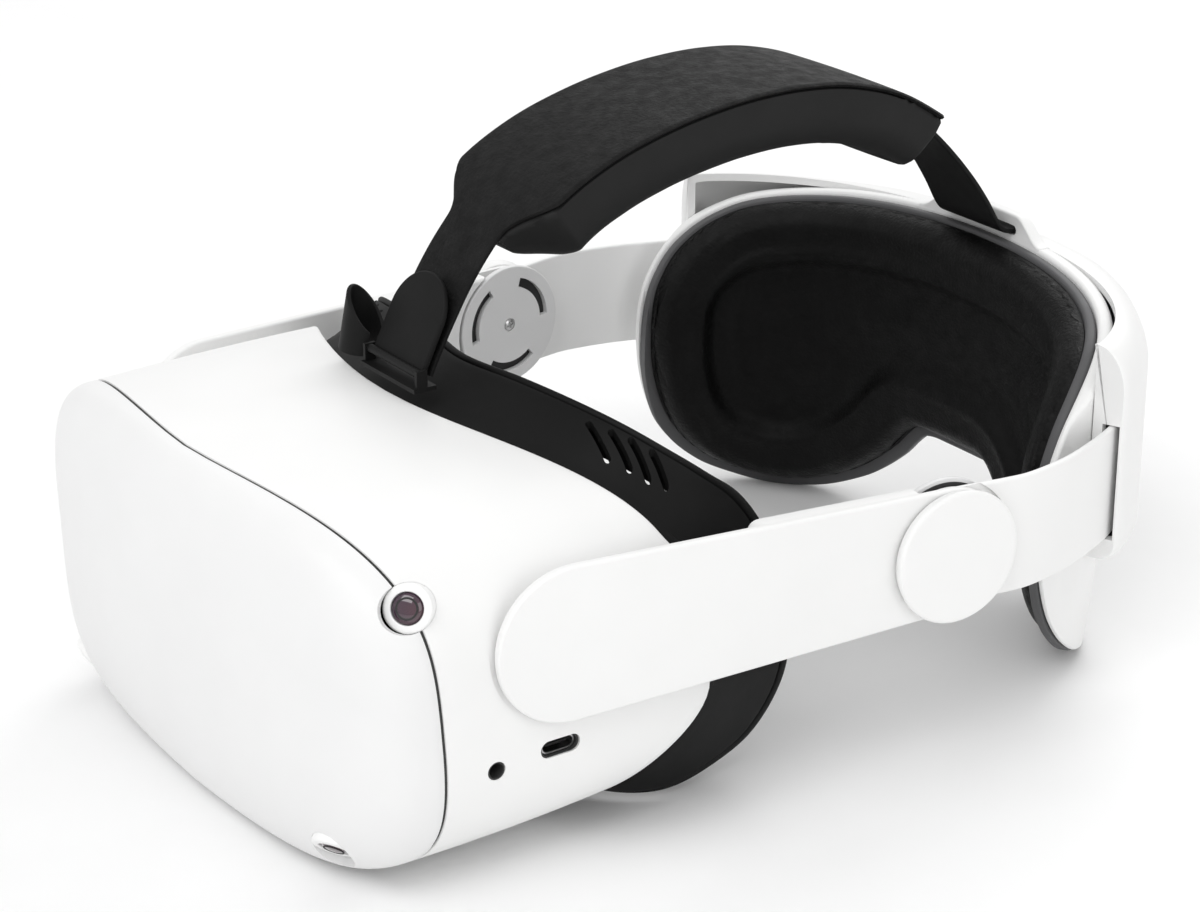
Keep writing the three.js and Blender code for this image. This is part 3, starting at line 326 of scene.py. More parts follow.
def combine(obj, others, operation="DIFFERENCE"):
    for other in others:
        modifier = obj.modifiers.new("combine", "BOOLEAN")
        modifier.operation = operation
        modifier.object = other
        modifier.solver = "EXACT"
        bake(obj)
        bpy.data.objects.remove(other)
    return obj


def dress(obj, mat, body, replaces=(), sharp=32, slot=None):
    """Gives a finished piece its material, its shading and its body, and hides the CAD nodes that it stands
    for.
    """
    obj.data.materials.clear()
    obj.data.materials.append(mat)
    obj.data.shade_smooth()
    obj.data.set_sharp_from_angle(angle=radians(sharp))
    if body:
        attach(obj, body)
    slot or SLOT_OF[mat.name]
    if replaces:
        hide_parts(*replaces)


def fillet(points, radius, steps=5):
    """Closed 2-D outline with its corners rounded: radius is one number or one for each point."""
    out = []
    for i, p in enumerate(points):
        r = radius[i] if isinstance(radius, (list, tuple)) else radius
        p, before, after = Vector(p), Vector(points[i - 1]), Vector(points[(i + 1) % len(points)])
        if r <= 0:
            out.append(p)
            continue
        into, away = (before - p).normalized(), (after - p).normalized()
        half = into.angle(away) / 2
        reach = min(r / tan(half), (before - p).length * 0.49, (after - p).length * 0.49)
        for k in range(steps + 1):
            t = k / steps
            a, b = p + into * reach * (1 - t), p + away * reach * t
            out.append(a.lerp(b, t))
    return out


def lathe(profile, steps=72):
    """Turned body round Z: the profile is [radius, height], closed or starting and ending on the axis."""
    rows = [[Vector((r * cos(a), r * sin(a), z)) for r, z in profile]
            for a in (2 * pi * i / steps for i in range(steps))]
    return skin(rows, ring=True, closed=profile[0][0] > 0)


def prism(outline, low, high, round_edge=0.6, steps=4):
    """Flat 2-D outline with thickness along +Z, its edges rounded by drawing the outline in."""
    outline = [Vector(p) for p in outline]
    normals = []
    for i, p in enumerate(outline):
        run = (outline[(i + 1) % len(outline)] - outline[i - 1]).normalized()
        normals.append(Vector((-run.y, run.x)))
    area = sum(outline[i - 1].cross(p) for i, p in enumerate(outline))
    turn = 1 if area > 0 else -1
    rows = []
    for level, sign in ((low, 1), (high, -1)):
        ring = []
        for k in range(steps + 1):
            a = pi / 2 * k / steps
            inset, height = turn * round_edge * (1 - sin(a)), level + sign * round_edge * (1 - cos(a))
            ring.append([Vector((*(p + n * inset), height)) for p, n in zip(outline, normals)])
        rows += ring if sign > 0 else ring[::-1]
    return skin(rows)


def stadium(width, height, steps=14):
    r = height / 2
    run = width / 2 - r
    arc = [(-pi / 2 + pi * k / steps) for k in range(steps + 1)]
    right = [Vector((run + r * cos(a), r * sin(a))) for a in arc]
    return right + [Vector((-p.x, -p.y)) for p in right]


def along_x(x=0.0, y=0.0, z=0.0):
    """Places a prism so that its 2-D outline is (Y, Z) and its thickness runs along +X."""
    return Matrix(((0, 0, 1, x), (1, 0, 0, y), (0, 1, 0, z), (0, 0, 0, 1)))


def along_y(x=0.0, y=0.0, z=0.0):
    """Places a prism so that its 2-D outline is (X, Z) and its thickness runs along +Y."""
    return Matrix(((1, 0, 0, x), (0, 0, 1, y), (0, 1, 0, z), (0, 0, 0, 1)))


def tool(shape, place=Matrix()):
    return build("tool", shape, place)


def cylinder(radius, low, high, steps=64):
    return lathe([(0, low), (radius, low), (radius, high), (0, high)], steps)


def mirror(side):
    return Matrix.Scale(side, 4, (1, 0, 0))


def spline(points, samples=24):
    """Catmull-Rom points through a list of vectors, open at both ends."""
    points = [Vector(p) for p in points]
    ends = [2 * points[0] - points[1], *points, 2 * points[-1] - points[-2]]
    out = []
    for i in range(1, len(ends) - 2):
        a, b, c, d = ends[i - 1:i + 3]
        for k in range(samples):
            t = k / samples
            out.append(0.5 * (2 * b + (c - a) * t + (2 * a - 5 * b + 4 * c - d) * t * t
                              + (3 * b - a - 3 * c + d) * t ** 3))
    return out + [points[-1]]


def resample(points, count):
    """The same line walked in equal steps."""
    lengths = np.cumsum([0] + [(b - a).length for a, b in zip(points, points[1:])])
    targets = np.linspace(0, lengths[-1], count)
    coords = np.array([tuple(p) for p in points])
    columns = [np.interp(targets, lengths, coords[:, i]) for i in range(coords.shape[1])]
    return [Vector(p) for p in zip(*columns)]


CLOTH_FRAMES, CLOTH_PRESSURE = 20, 4.0


def puff(obj, held, cap):
    """Swells a padded piece by a short cloth simulation that holds the vertices numbered in held."""
    start = np.array([v.co for v in obj.data.vertices])
    group = obj.vertex_groups.new(name="held")
    group.add(held, 1.0, "REPLACE")
    cloth = obj.modifiers.new("cloth", "CLOTH")
    cloth.settings.quality = 6
    cloth.settings.mass = 0.3
    cloth.settings.use_pressure = True
    cloth.settings.uniform_pressure_force = CLOTH_PRESSURE
    cloth.settings.effector_weights.gravity = 0
    cloth.settings.vertex_group_mass = "held"
    cloth.settings.tension_stiffness = 20
    cloth.settings.compression_stiffness = 20
    cloth.settings.bending_stiffness = 2
    scene = bpy.context.scene
    for number in range(1, CLOTH_FRAMES + 1):
        scene.frame_set(number)
    bake(obj)
    scene.frame_set(1)
    obj.vertex_groups.clear()
    for vertex, before in zip(obj.data.vertices, start):
        move = vertex.co - Vector(before)
        if move.length > cap:
            vertex.co = Vector(before) + move * (cap / move.length)


def subdivide(obj):
    obj.modifiers.new("fine", "SUBSURF").levels = 1
    bake(obj)


# ---- visor shells
def power(value, exponent):
    return copysign(abs(value) ** exponent, value)


def outline(a, half, up, down, power_up, power_down):
    above = sin(a) >= 0
    n, height = (power_up, up) if above else (power_down, down)
    return Vector((half * power(cos(a), 2 / n), 0, MID_Z + height * power(sin(a), 2 / n)))


def seam(a, inset=0.0):
    p = outline(a, SEAM.half - inset, SEAM.up - inset, SEAM.down - inset, SEAM.power_up, SEAM.power_down)
    t = (p.z - MID_Z) / 50
    p.y = 7.7 + 13.2 * abs(p.x / SEAM.half) ** 1.45 - 4.1 * t - 2.9 * t ** 2 + 0.45 * t ** 3
    return p


def rear_edge(a, inset=0.0):
    half = REAR.half - inset
    p = outline(a, half, REAR.up - inset, REAR.down - inset, REAR.power_up, REAR.power_down)
    across = (p.x / half) ** 2
    below = (6.8 + 25.5 * across) * smooth((-14 - p.z) / 43)
    above = 7 * across * smooth((p.z - 12) / 18)
    p.y = 63 + 41 * across - below - above
    return p


RING = [pi / 2 + 2 * pi * i / AROUND for i in range(AROUND)]

CAMERAS = {
    "upper": (Vector((86.1, 15.7, 28.7)), Vector((0.66, -0.66, 0.36))),
    "lower": (Vector((68.2, 2.8, -42.8)), Vector((0.36, -0.6, -0.71))),
}
BEZEL_RADIUS, LENS_RADIUS, BORE_GAP = 6.4, 4.1, 0.05
USB = Sizes(y=55.7, z=-18.2, width=12, height=5)
JACK = Sizes(y=36.5, z=-19.7, radius=2.6)
POWER = Sizes(y=46, z=-20, width=11, height=5)
ROCKER = Sizes(x=34, y=42, length=22, width=5)


def aimed(camera, side):
    at, facing = CAMERAS[camera]
    turn = facing.to_track_quat("Z", "Y").to_matrix().to_4x4()
    return mirror(side) @ Matrix.Translation(at) @ turn


def camera_bores(grow):
    bore = cylinder(BEZEL_RADIUS + grow, -9, 6)
    return [tool(bore, aimed(camera, side)) for camera in CAMERAS for _, side in SIDES]


def cover_point(a, turn, wall, back=0.0):
    """Point of the bowed cover: turn runs from 0 at the middle of its face to a right angle at its edge."""
    edge = seam(a)
    depth = edge.y - SEAM_GAP / 2 - back
    t = sin(turn) ** (2 / COVER_POWER)
    y = depth - (depth - COVER_FRONT - wall) * max(0, cos(turn)) ** (2 / COVER_POWER)
    wide = (SEAM.half - wall) / SEAM.half * t
    tall = (SEAM.up - wall) / SEAM.up * t
    return Vector((edge.x * wide, y, MID_Z + (edge.z - MID_Z) * tall))


def make_cover():
    edge = pi / 2
    turns = [edge * (k / 10) ** 2.6 for k in range(1, 4)]
    turns += [edge * (0.04 + 0.96 * k / 44) for k in range(1, 44)]
    outer = [[cover_point(a, t, 0, 0.35) for a in RING] for t in turns]
    lip = [[cover_point(a, edge, wall, back) for a in RING]
           for wall, back in ((0, 0.35), (0.15, 0.08), (0.4, 0), (1.9, 0))]
    inner = [[cover_point(a, edge * t, COVER_WALL) for a in RING] for t in (0.98, 0.85, 0.6, 0.3, 0.05)]
    cover = combine(build("visor_cover", skin(outer + lip + inner)), camera_bores(BORE_GAP))
    dress(cover, WHITE_COVER, "visor", ["front_cover"], 38)


def body_row(a):
    front, rear = seam(a), rear_edge(a)
    front.y += SEAM_GAP / 2
    length = rear.y - front.y
    row = []
    for inset, t in ((1.2, 0), (0.4, 0), (0.12, 0.1 / length), (0, 0.45 / length),
                     *((0, k / 16) for k in range(1, 16)), (0, 1 - 1.0 / length), (0.25, 1 - 0.35 / length),
                     (0.8, 1), (BODY_WALL, 1)):
        p = front.lerp(rear, t)
        swell = 1 + (BODY_SWELL * 4 * t * (1 - t) - inset) / SEAM.half
        row.append(Vector((p.x * swell, p.y, MID_Z + (p.z - MID_Z) * swell)))
    inner_front, inner_rear = seam(a, BODY_WALL), rear_edge(a, BODY_WALL)
    inner_front.y, inner_rear.y = front.y, rear.y
    return row[:-1] + [inner_rear, inner_front]


def arm_place(side, at=PIVOT):
    where = Matrix.Translation((side * at.x, at.y, at.z)) @ Matrix.Rotation(-side * ARM_TILT, 4, "Z")
    return where @ mirror(side)


def side_slot(at, grow, low, high):
    shape = prism(stadium(at.width + 2 * grow, at.height + 2 * grow), low, high, 0.02)
    return tool(shape, along_x(0, at.y, at.z))


def make_body():
    body = build("visor_body", skin([body_row(a) for a in RING], ring=True))
    cutters = camera_bores(BORE_GAP)
    for _, side in SIDES:
        recess = cylinder(ARM.front + RECESS_GAP, -RECESS_DEPTH, 12, 128)
        cutters.append(tool(recess, arm_place(side) @ along_x()))
    cutters.append(side_slot(USB, 0, 85, 105))
    cutters.append(tool(cylinder(JACK.radius, 85, 105, 48), along_x(0, JACK.y, JACK.z)))
    cutters.append(side_slot(POWER, 0.25, -105, -85))
    rocker = prism(stadium(ROCKER.length + 0.5, ROCKER.width + 0.5), -62, -44, 0.02)
    cutters.append(tool(rocker, Matrix.Translation((ROCKER.x, ROCKER.y, 0))))
    combine(body, cutters)
    dress(body, WHITE, "visor", ["body_shell"], 34)


def make_gasket():
    """Dark strip that shows in the seam between the cover and the body."""
    rows = []
    for a in RING:
        row = []
        for inset, shift in ((0.55, -0.5), (0.55, 0.5), (2.0, 0.5), (2.0, -0.5)):
            p = seam(a, inset)
            p.y = seam(a).y + shift
            row.append(p)
        rows.append(row)
    gasket = combine(build("seam_gasket", skin(rows, ring=True)), camera_bores(0.2))
    dress(gasket, SEAM_DARK_AND_SHADE, "visor")


def make_cameras():
    r, hole = BEZEL_RADIUS, LENS_RADIUS
    rim = fillet([(hole + 0.1, 0.3), (r, 0.3), (r, -6.5), (hole + 0.1, -6.5)], [0.5, 1.3, 0.3, 0.3], 8)
    dome = [(0, 0.75), *((hole * sin(a), -0.9 + 1.65 * cos(a)) for a in
                         (radians(x) for x in range(6, 91, 6))), (hole, -6), (0, -6)]
    iris = fillet([(1.5, 0), (2.9, 0.5), (2.9, -0.6), (1.5, -0.6)], 0.12, 3)
    for camera in CAMERAS:
        for label, side in SIDES:
            name = f"{camera}_{label}"
            place = aimed(camera, side)
            bezel = build(f"bezel_{name}", lathe(rim, 96), place)
            dress(bezel, BEZEL_WHITE, "visor", [f"camera_bezel_{name}"])
            glass = build(f"camera_glass_{name}", lathe(dome, 72), place)
            dress(glass, CAMERA_GLASS, "visor", [f"camera_lens_{name}"])
            ring = build(f"camera_iris_{name}", lathe([(p[0], p[1] + 0.12) for p in iris], 48), place)
            dress(ring, SEAM_DARK_AND_SHADE, "visor")


# ---- ports, buttons, works
def make_ports():
    port = along_x(0, USB.y, USB.z)

    def tube(name, outer, low, high, hole, start, end, edge):
        """Hollow socket wall between two rounded slots."""
        wall = build(name, prism(stadium(*outer), low, high, edge), port)
        return combine(wall, [tool(prism(stadium(*hole), start, end, 0.02), port)])
    shell = tube("charging_shell", (10.6, 4.2), 82, 92.5, (9.4, 3.1), 84, 95, 0.3)
    dress(shell, STEEL, "visor", ["usb_c_port"])
    blade = fillet([(-3.4, -0.4), (3.4, -0.4), (3.4, 0.4), (-3.4, 0.4)], 0.2)
    dress(build("charging_tongue", prism(blade, 83, 91.5, 0.1), port), BLACK, "visor")
    lining = tube("charging_lining", (11.9, 4.9), 86, 93.4, (10.8, 4.4), 80, 99, 0.05)
    dress(lining, SEAM_DARK_AND_SHADE, "visor")
    profile = fillet([(1.75, 74), (2.5, 74), (2.5, 93.2), (2.1, 93.2), (1.75, 88)], 0.1, 2)
    jack = build("audio_socket", lathe([(r, x) for r, x in profile], 48), along_x(0, JACK.y, JACK.z))
    dress(jack, SEAM_DARK_AND_SHADE, "visor", ["audio_jack"])
    back = build("audio_socket_back", cylinder(1.74, 76, 80, 32), along_x(0, JACK.y, JACK.z))
    dress(back, BLACK, "visor")


def make_buttons():
    power_key = build("power_key_cap", prism(stadium(POWER.width, POWER.height), -94.5, -89, 0.5),
                      along_x(0, POWER.y, POWER.z))
    dress(power_key, WHITE, "power_key", ["power_button"])
    shape = prism(stadium(ROCKER.length, ROCKER.width), -53.7, -48.2, 0.45)
    rocker = build("volume_rocker_cap", shape, Matrix.Translation((ROCKER.x, ROCKER.y, 0)))
    dress(rocker, WHITE, "volume_key", ["volume_rocker"])


def dress_works():
    """Better materials on the plain CAD pieces inside the visor."""
    black = ("chassis", "fan_case", "pivot_post_left", "pivot_post_right", "rack_left", "rack_right",
             "dial_pinion", "strap_anchor")
    for mat, names in ((BLACK, black), (SEAM_DARK_AND_SHADE, ["fan_rotor"]), (BOARD, ["main_board"]),
                       (FOIL, ["battery_pack", "heat_spreader"]),
                       (CAMERA_GLASS, ["display_panel", "proximity_sensor"])):
        for name in names:
            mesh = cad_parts[name].data
            mesh.materials.clear()
            mesh.materials.append(mat)


def make_optics():
    r = BARREL_RADIUS
    tube = fillet([(15, 0), (r, 0), (r, 34.6), (r - 1.6, 34.6), (r - 1.6, 28), (15, 24)],
                  [0.5, 0.6, 0.7, 0.4, 0.2, 0.5], 5)
    dome = [(0, 26.4), (12, 26.8), (r - 1.8, 28.6), (r - 1.8, 30.8),
            *((s * (r - 1.8), 34 - 3.2 * s * s) for s in (k / 24 for k in range(23, -1, -1)))]
    grooves = [fillet([(x, 33.95 - 3.2 * (x / 19.2) ** 2), (x + 0.12, 34.1 - 3.2 * (x / 19.2) ** 2),
                       (x + 0.24, 33.95 - 3.2 * (x / 19.2) ** 2)], 0.03, 2) for x in range(4, 19, 2)]
    for label, side in SIDES:
        place = Matrix.Translation((side * EYE_X, 29.5, 0)) @ Matrix.Rotation(-pi / 2, 4, "X")
        body = f"{label}_eye"
        dress(build(f"barrel_{label}", lathe(tube, 96), place), BLACK, body, [f"lens_barrel_{label}"])
        dress(build(f"eye_lens_{label}", lathe(dome, 96), place), LENS_GLASS, body, [f"lens_{label}"])
        rings = [lathe(profile, 96) for profile in grooves]
        points, faces = [], []
        for ring_points, ring_faces in rings:
            faces += [tuple(i + len(points) for i in f) for f in ring_faces]
            points += ring_points
        dress(build(f"lens_rings_{label}", (points, faces), place), LENS_GLASS, body)


def make_shroud():
    shape = [Vector((p.x, p.z)) for p in (outline(a, 78, 41, 40, 3.2, 4) for a in RING)]
    shroud = build("eye_shroud", prism(shape, 52, 54, 0.4), along_y())
    slots = [tool(prism(stadium(47.001, 43), 40, 60, 0.02), along_y(side * EYE_X, 0, 0)) for _, side in SIDES]
    dress(combine(shroud, slots), SOFT_BLACK, "visor", ["lens_shroud"], slot="black_plastic")


# ---- face interface
FACE_EDGE = [(0, 90, 53), (22, 94, 52.5), (43, 97.5, 51.5), (60, 101, 49.5), (72, 106, 45.5), (79, 114, 39),
             (81.5, 125, 29), (82, 135, 12), (82, 140.5, -8), (81.5, 140, -26), (81, 131, -40.5),
             (80.3, 118.5, -48), (78.5, 102, -52.6), (70, 89, -53), (57, 82, -51.5), (43, 78, -47.5),
             (28, 74.5, -41), (13, 71, -31), (0, 69.5, -26)]
# each vent's middle (x, y), its length and its turn
VENTS = ((58.7, 92.2, 13.8, -0.18), (64.4, 95.3, 12, -0.12), (69, 98.2, 10.3, -0.06),
         (73.1, 101.5, 7.2, 0.08))
FRAME_INSET = BODY_WALL + 1.5
FRAME_SHARE = 0.9


def closed_ring(points):
    loop = spline([points[-1], *points, points[0], points[1]], 12)
    return resample(loop[12:-12], AROUND + 1)[:-1]


def face_ring():
    right = [(-x, y, z) for x, y, z in FACE_EDGE[-2:0:-1]]
    return closed_ring([Vector(p) for p in FACE_EDGE] + [Vector(p) for p in right])


def opening_ring(inset, forward):
    points = [rear_edge(a, inset) for a in reversed(RING)]
    points = [points[-1]] + points[:-1]
    ring = resample(points + [points[0]], AROUND + 1)[:-1]
    for p in ring:
        p.y -= forward
    return ring


def inwards(ring):
    out = []
    for i, _ in enumerate(ring):
        run = ring[(i + 1) % len(ring)] - ring[i - 1]
        out.append(Vector((run.z, 0, -run.x)).normalized())
    return out


def make_face_frame():
    opening, face = opening_ring(FRAME_INSET, 4), face_ring()
    into = inwards(opening)
    rows = []
    for p, q, n in zip(opening, face, into):
        lip = p + Vector((0, 5, 0))
        end = p.lerp(q, FRAME_SHARE)
        side = smooth((40 - p.z) / 30) * smooth((abs(p.x) - 60) / 20)
        out = [p, lip - n * 0.6 * side, lip.lerp(end, 0.12) - n * 0.7 * side, lip.lerp(end, 0.15) + n * 0.1]
        out += [lip.lerp(end, t) for t in (0.3, 0.45, 0.6, 0.75, 0.9, 0.96)]
        out += [lip.lerp(end, 0.99) + n * 0.15, end + n * 0.6]
        back = [end + n * 2.1, lip.lerp(end, 0.5) + n * 2.4, lip + n * 2.4, p + n * 2.4]
        rows.append(out + back)
    shell = build("face_frame_skin", skin(rows, ring=True))
    vents = []
    for _, side in SIDES:
        for x, y, length, turn in VENTS:
            place = mirror(side) @ Matrix.Translation((x, y, 0)) @ Matrix.Rotation(turn, 4, "Z")
            vents.append(tool(prism(stadium(length, 1.8, 8), 33, 57, 0.02), place))
    combine(shell, vents)
    dress(shell, SOFT_BLACK, "visor", ["face_frame"], 28, "black_plastic")


def make_face_cushion():
    opening, face = opening_ring(FRAME_INSET, 4), face_ring()
    into_opening, into_face = inwards(opening), inwards(face)
    section = [(None, 0.5), (0.925, 0.05), (0.95, 0), (0.97, 0.2), (0.985, 0.8), (1.0, 2.2), (1.015, 4.4),
               (1.02, 6.6), (1.015, 8.8), (1.0, 10.6), (0.98, 11.6), (0.96, 11.9), (0.94, 11.9), (0.92, 11.8),
               (None, 11.4)]
    rows = []
    for p, q, a, b in zip(opening, face, into_opening, into_face):
        start = FRAME_SHARE + 0.4 / (q - p).length
        row = []
        for t, inset in section:
            t = start if t is None else t
            n = a.lerp(b, clamp((t - start) / (1 - start))).normalized()
            row.append(p.lerp(q, t) + n * inset)
        rows.append(row)
    cushion = build("face_cushion_pad", skin(rows, ring=True))
    count = len(section)
    held = [i for i in range(len(cushion.data.vertices)) if i % count < 3 or i % count > count - 3]
    puff(cushion, held, 0.0012)
    subdivide(cushion)
    dress(cushion, FACE_FOAM, "visor", ["face_cushion"], 70)


# ---- side arms and hubs
def arc(x, radius, start, end, steps=40):
    """Points of an arc round (x, 0), its angles measured from the first axis."""
    return [Vector((x + radius * cos(a), radius * sin(a))) for a in
            (mix(start, end, k / steps) for k in range(steps + 1))]


def arm_outline(start=None, shrink=0.0):
    """(Y, Z) outline of the arm from its pivot, with round ends, or only what is beyond start."""
    quarter = pi / 2
    tail = arc(ARM.reach, ARM.rear - shrink, -quarter, quarter)
    if start is None:
        return arc(0, ARM.front - shrink, quarter, 3 * quarter) + tail
    half = mix(ARM.front, ARM.rear, start / ARM.reach) - shrink
    square = [(start, half), (start, -half), (start + 20, -half), (start + 20, half)]
    corners = fillet(square, [4, 4, 0, 0], 8)
    return corners[:18] + tail


def make_arms():
    for label, side in SIDES:
        place = arm_place(side) @ along_x()
        arm = build(f"arm_{label}", prism(arm_outline(), -ARM.thin, 0, 0.9, 6), place)
        combine(arm, [tool(prism(arm_outline(54, 0.15), -ARM.wall, -1.2, 1.2, 5), place)], "UNION")
        at_eye = place @ Matrix.Translation((ARM.reach, 0, 0))
        combine(arm, [tool(cylinder(HUB_RADIUS + 1, -20, -ARM.eye, 128), at_eye),
                      tool(cylinder(5.6, -20, 5), at_eye), tool(cylinder(9.5, -4, -1.3), place)])
        dress(arm, WHITE, "arms", [f"side_arm_{label}"], 30)


def hub_place(side):
    return arm_place(side, HUB) @ along_x()


def make_hubs():
    r = HUB_RADIUS
    cap = fillet([(0, -CAP_WALL), (r - CAP_TAPER, -CAP_WALL), (r, 0), (r * 0.55, 0), (0, 0)],
                 [0, 0.5, 1.3, 0, 0], 7)
    for label, side in SIDES:
        place = hub_place(side)
        disc = build(f"hub_disc_{label}", lathe(cap, 160), place)
        dress(disc, WHITE, "bands", [f"hub_cap_{label}"], 50)
        shaft = build(f"hub_shaft_{label}", cylinder(5, PLATE_FACE + 0.2, -CAP_WALL + 0.2, 64), place)
        dress(shaft, HUB_GREY, "bands")
        low, high = PLATE_FACE - PLATE_WALL, PLATE_FACE
        profile = fillet([(0, low), (r, low), (r, high), (0, high)], [0, 0.6, 0.3, 0], 5)
        plate = build(f"hub_plate_skin_{label}", lathe(profile, 160), place)
        slots = [tool(arc_slot(14.1, 1.5, radians(middle)), place) for middle in (37, 157, 272)]
        dimple = tool(cylinder(2.2, low - 1, low + 0.7, 48), place)
        combine(plate, [*slots, dimple])
        dress(plate, HUB_GREY, "bands", [f"hub_plate_{label}"])
        backing = build(f"hub_backing_{label}", cylinder(18.4, high + 0.05, high + 0.15, 96), place)
        dress(backing, SEAM_DARK_AND_SHADE, "bands")
        make_screw(label, place @ Matrix.Translation((0, 0, low + 0.7)))


def arc_slot(radius, half, middle, half_span=radians(36), steps=24):
    """Slot along an arc with square ends, as a cutter."""
    angles = [middle - half_span + 2 * half_span * k / steps for k in range(steps + 1)]
    outer = [Vector(((radius + half) * cos(a), (radius + half) * sin(a))) for a in angles]
    inner = [Vector(((radius - half) * cos(a), (radius - half) * sin(a))) for a in reversed(angles)]
    return prism(outer + inner, -20, -5, 0.02)


def make_screw(label, place):
    head = fillet([(0, 0), (1.9, 0), (1.9, -0.5), (1.1, -0.9), (0, -0.9)], [0, 0.1, 0.2, 0.3, 0], 4)
    screw = build(f"screw_{label}", lathe(head, 64), place)
    bar = [(-0.28, -1.2), (0.28, -1.2), (0.28, 1.2), (-0.28, 1.2)]
    cross = [tool(prism(bar, -3, -0.45, 0.05), place @ Matrix.Rotation(turn, 4, "Z"))
             for turn in (0.3, 0.3 + pi / 2)]
    dress(combine(screw, cross), STEEL, "bands", [f"hub_screw_{label}"])


BAND_PATH = [(106.4, 165), (107.4, 173), (108.9, 181), (110.8, 190), (111.6, 199), (109.4, 213.5),
             (105, 227.3), (99.6, 240), (92.6, 251), (83.6, 261.5), (74, 269.5), (64.5, 275.6)]


def band_rows(count=150):
    """Sections along the band: a thin upright strip with rounded edges."""
    line = resample(spline([Vector((x, y, BAND_Z)) for x, y in BAND_PATH]), count)
    half, wall = BAND_HALF, BAND_WALL / 2
    section = fillet([(-wall, -half), (wall, -half), (wall, half), (-wall, half)], 0.85, 5)
    rows = []
    for i, p in enumerate(line):
        run = (line[min(i + 1, count - 1)] - line[max(i - 1, 0)]).normalized()
        rows.append([p + Vector((run.y, -run.x, 0)) * a + Vector((0, 0, b)) for a, b in section])
    return rows


def make_bands():
    rows = [row for row in band_rows() if row[0].y > 172]
    for label, side in SIDES:
        place = hub_place(side)
        strip = build(f"band_strip_{label}", skin(rows), mirror(side))
        clear = [tool(cylinder(HUB_RADIUS + 0.6, BAND_FACE, 5, 128), place),
                 tool(cylinder(HUB_RADIUS + 0.6, -20, BAND_FACE - BAND_WALL, 128), place)]
        combine(strip, clear)
        low, high = BAND_FACE - BAND_WALL, BAND_FACE
        eye = fillet([(5.3, low), (17.4, low), (17.4, high), (5.3, high)], [0.2, 0.7, 0.7, 0.2], 5)
        combine(strip, [tool(lathe(eye, 128), place)], "UNION")
        dress(strip, WHITE, None, [f"rear_band_{label}", f"band_tail_{label}"], 40)
        start, end = (TO_ROW @ Vector((side * x, y, BAND_Z)) for x, y in ((107.5, 220), (97, 244.5)))
        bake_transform(strip)
        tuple(start)
        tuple(end)


# ---- cradle
def cradle_line(count=1200):
    """Face surface in plan: lengths walked from the middle of the back, its points and its directions out."""
    turns = np.linspace(0, pi / 2, count)
    x = CRADLE.half * np.sin(turns) ** (2 / CRADLE.power)
    y = CRADLE.y + CRADLE.depth * np.abs(np.cos(turns)) ** (2 / CRADLE.power)
    walked = np.concatenate([[0], np.cumsum(np.hypot(np.diff(x), np.diff(y)))])
    even = np.linspace(0, walked[-1], count)
    x, y = np.interp(even, walked, x), np.interp(even, walked, y)
    run_x, run_y = np.gradient(x), np.gradient(y)
    run_x[0], run_y[0] = 1, 0
    smoothing = np.hanning(41) / np.hanning(41).sum()
    run_x = np.convolve(np.concatenate([run_x[20:0:-1], run_x, [run_x[-1]] * 20]), smoothing, "valid")
    run_y = np.convolve(np.concatenate([-run_y[20:0:-1], run_y, [run_y[-1]] * 20]), smoothing, "valid")
    length = np.hypot(run_x, run_y)
    return even, x, y, -run_y / length, run_x / length


CRADLE_LINE = cradle_line()


def on_cradle(offset, s, z):
    """Point on the cradle: distance outside the face surface, length walked from the middle, height."""
    walked, *columns = CRADLE_LINE
    x, y, out_x, out_y = (float(np.interp(abs(s), walked, column)) for column in columns)
    return Vector((copysign(1, s) * (x + out_x * offset), y + out_y * offset, z))


PAD_TOP = [(0, 52), (19, 51.7), (39, 50.8), (57, 49.4), (73, 47.3), (85, 44.8), (93, 41.7), (101, 37.1),
           (108.7, 30.2), (113.6, 22.5), (116.4, 14.6), (117.4, 2)]
PAD_BOTTOM = [(116.6, -10.5), (112.9, -23.8), (107.3, -33.1), (100, -39.8), (93, -43.7), (82.7, -47),
              (74.4, -48.1), (66, -47.6), (57, -45.6), (48, -41.8), (38.9, -36.6), (29.3, -28.5),
              (24.4, -22.9), (19.4, -18.4), (14, -17), (7, -17), (0, -17)]


def pad_outline(grow=0.0, drop=None):
    """Half outline of the pad in (length walked, height), from the top middle round its end to the bottom
    middle. grow moves it out above and at the ends, drop below."""
    drop = grow if drop is None else drop
    fine = resample(spline([Vector((a, z, 0)) for a, z in PAD_TOP + PAD_BOTTOM]), 400)
    out = []
    for i, p in enumerate(fine):
        run = (fine[min(i + 1, 399)] - fine[max(i - 1, 0)]).normalized()
        normal = Vector((-run.y, run.x, 0))
        amount = mix(drop, grow, smooth((normal.y + 0.5) / 0.8))
        q = p + normal * amount
        out.append((max(q.x, 0), q.y))
    return out


def edges_at(half_outline):
    """The outline's reach, and a function that gives its lower and upper heights at a length walked."""
    turn = max(range(len(half_outline)), key=lambda i: half_outline[i][0])
    top = np.array(half_outline[:turn + 1])
    bottom = np.array(half_outline[turn:][::-1])
    top[:, 0], bottom[:, 0] = np.maximum.accumulate(top[:, 0]), np.maximum.accumulate(bottom[:, 0])

    def heights(s):
        at = abs(s)
        return float(np.interp(at, bottom[:, 0], bottom[:, 1])), float(np.interp(at, top[:, 0], top[:, 1]))
    return half_outline[turn][0], heights


def cradle_rows(grow, drop, section, steps=200):
    """Rows across a curved plate over the pad's outline: section(s, low, high) gives each row."""
    reach, heights = edges_at(pad_outline(grow, drop))
    rows = []
    for i in range(steps + 1):
        s = reach * sin(pi / 2 * (2 * i / steps - 1) * 0.992)
        rows.append(section(s, *heights(s)))
    return rows


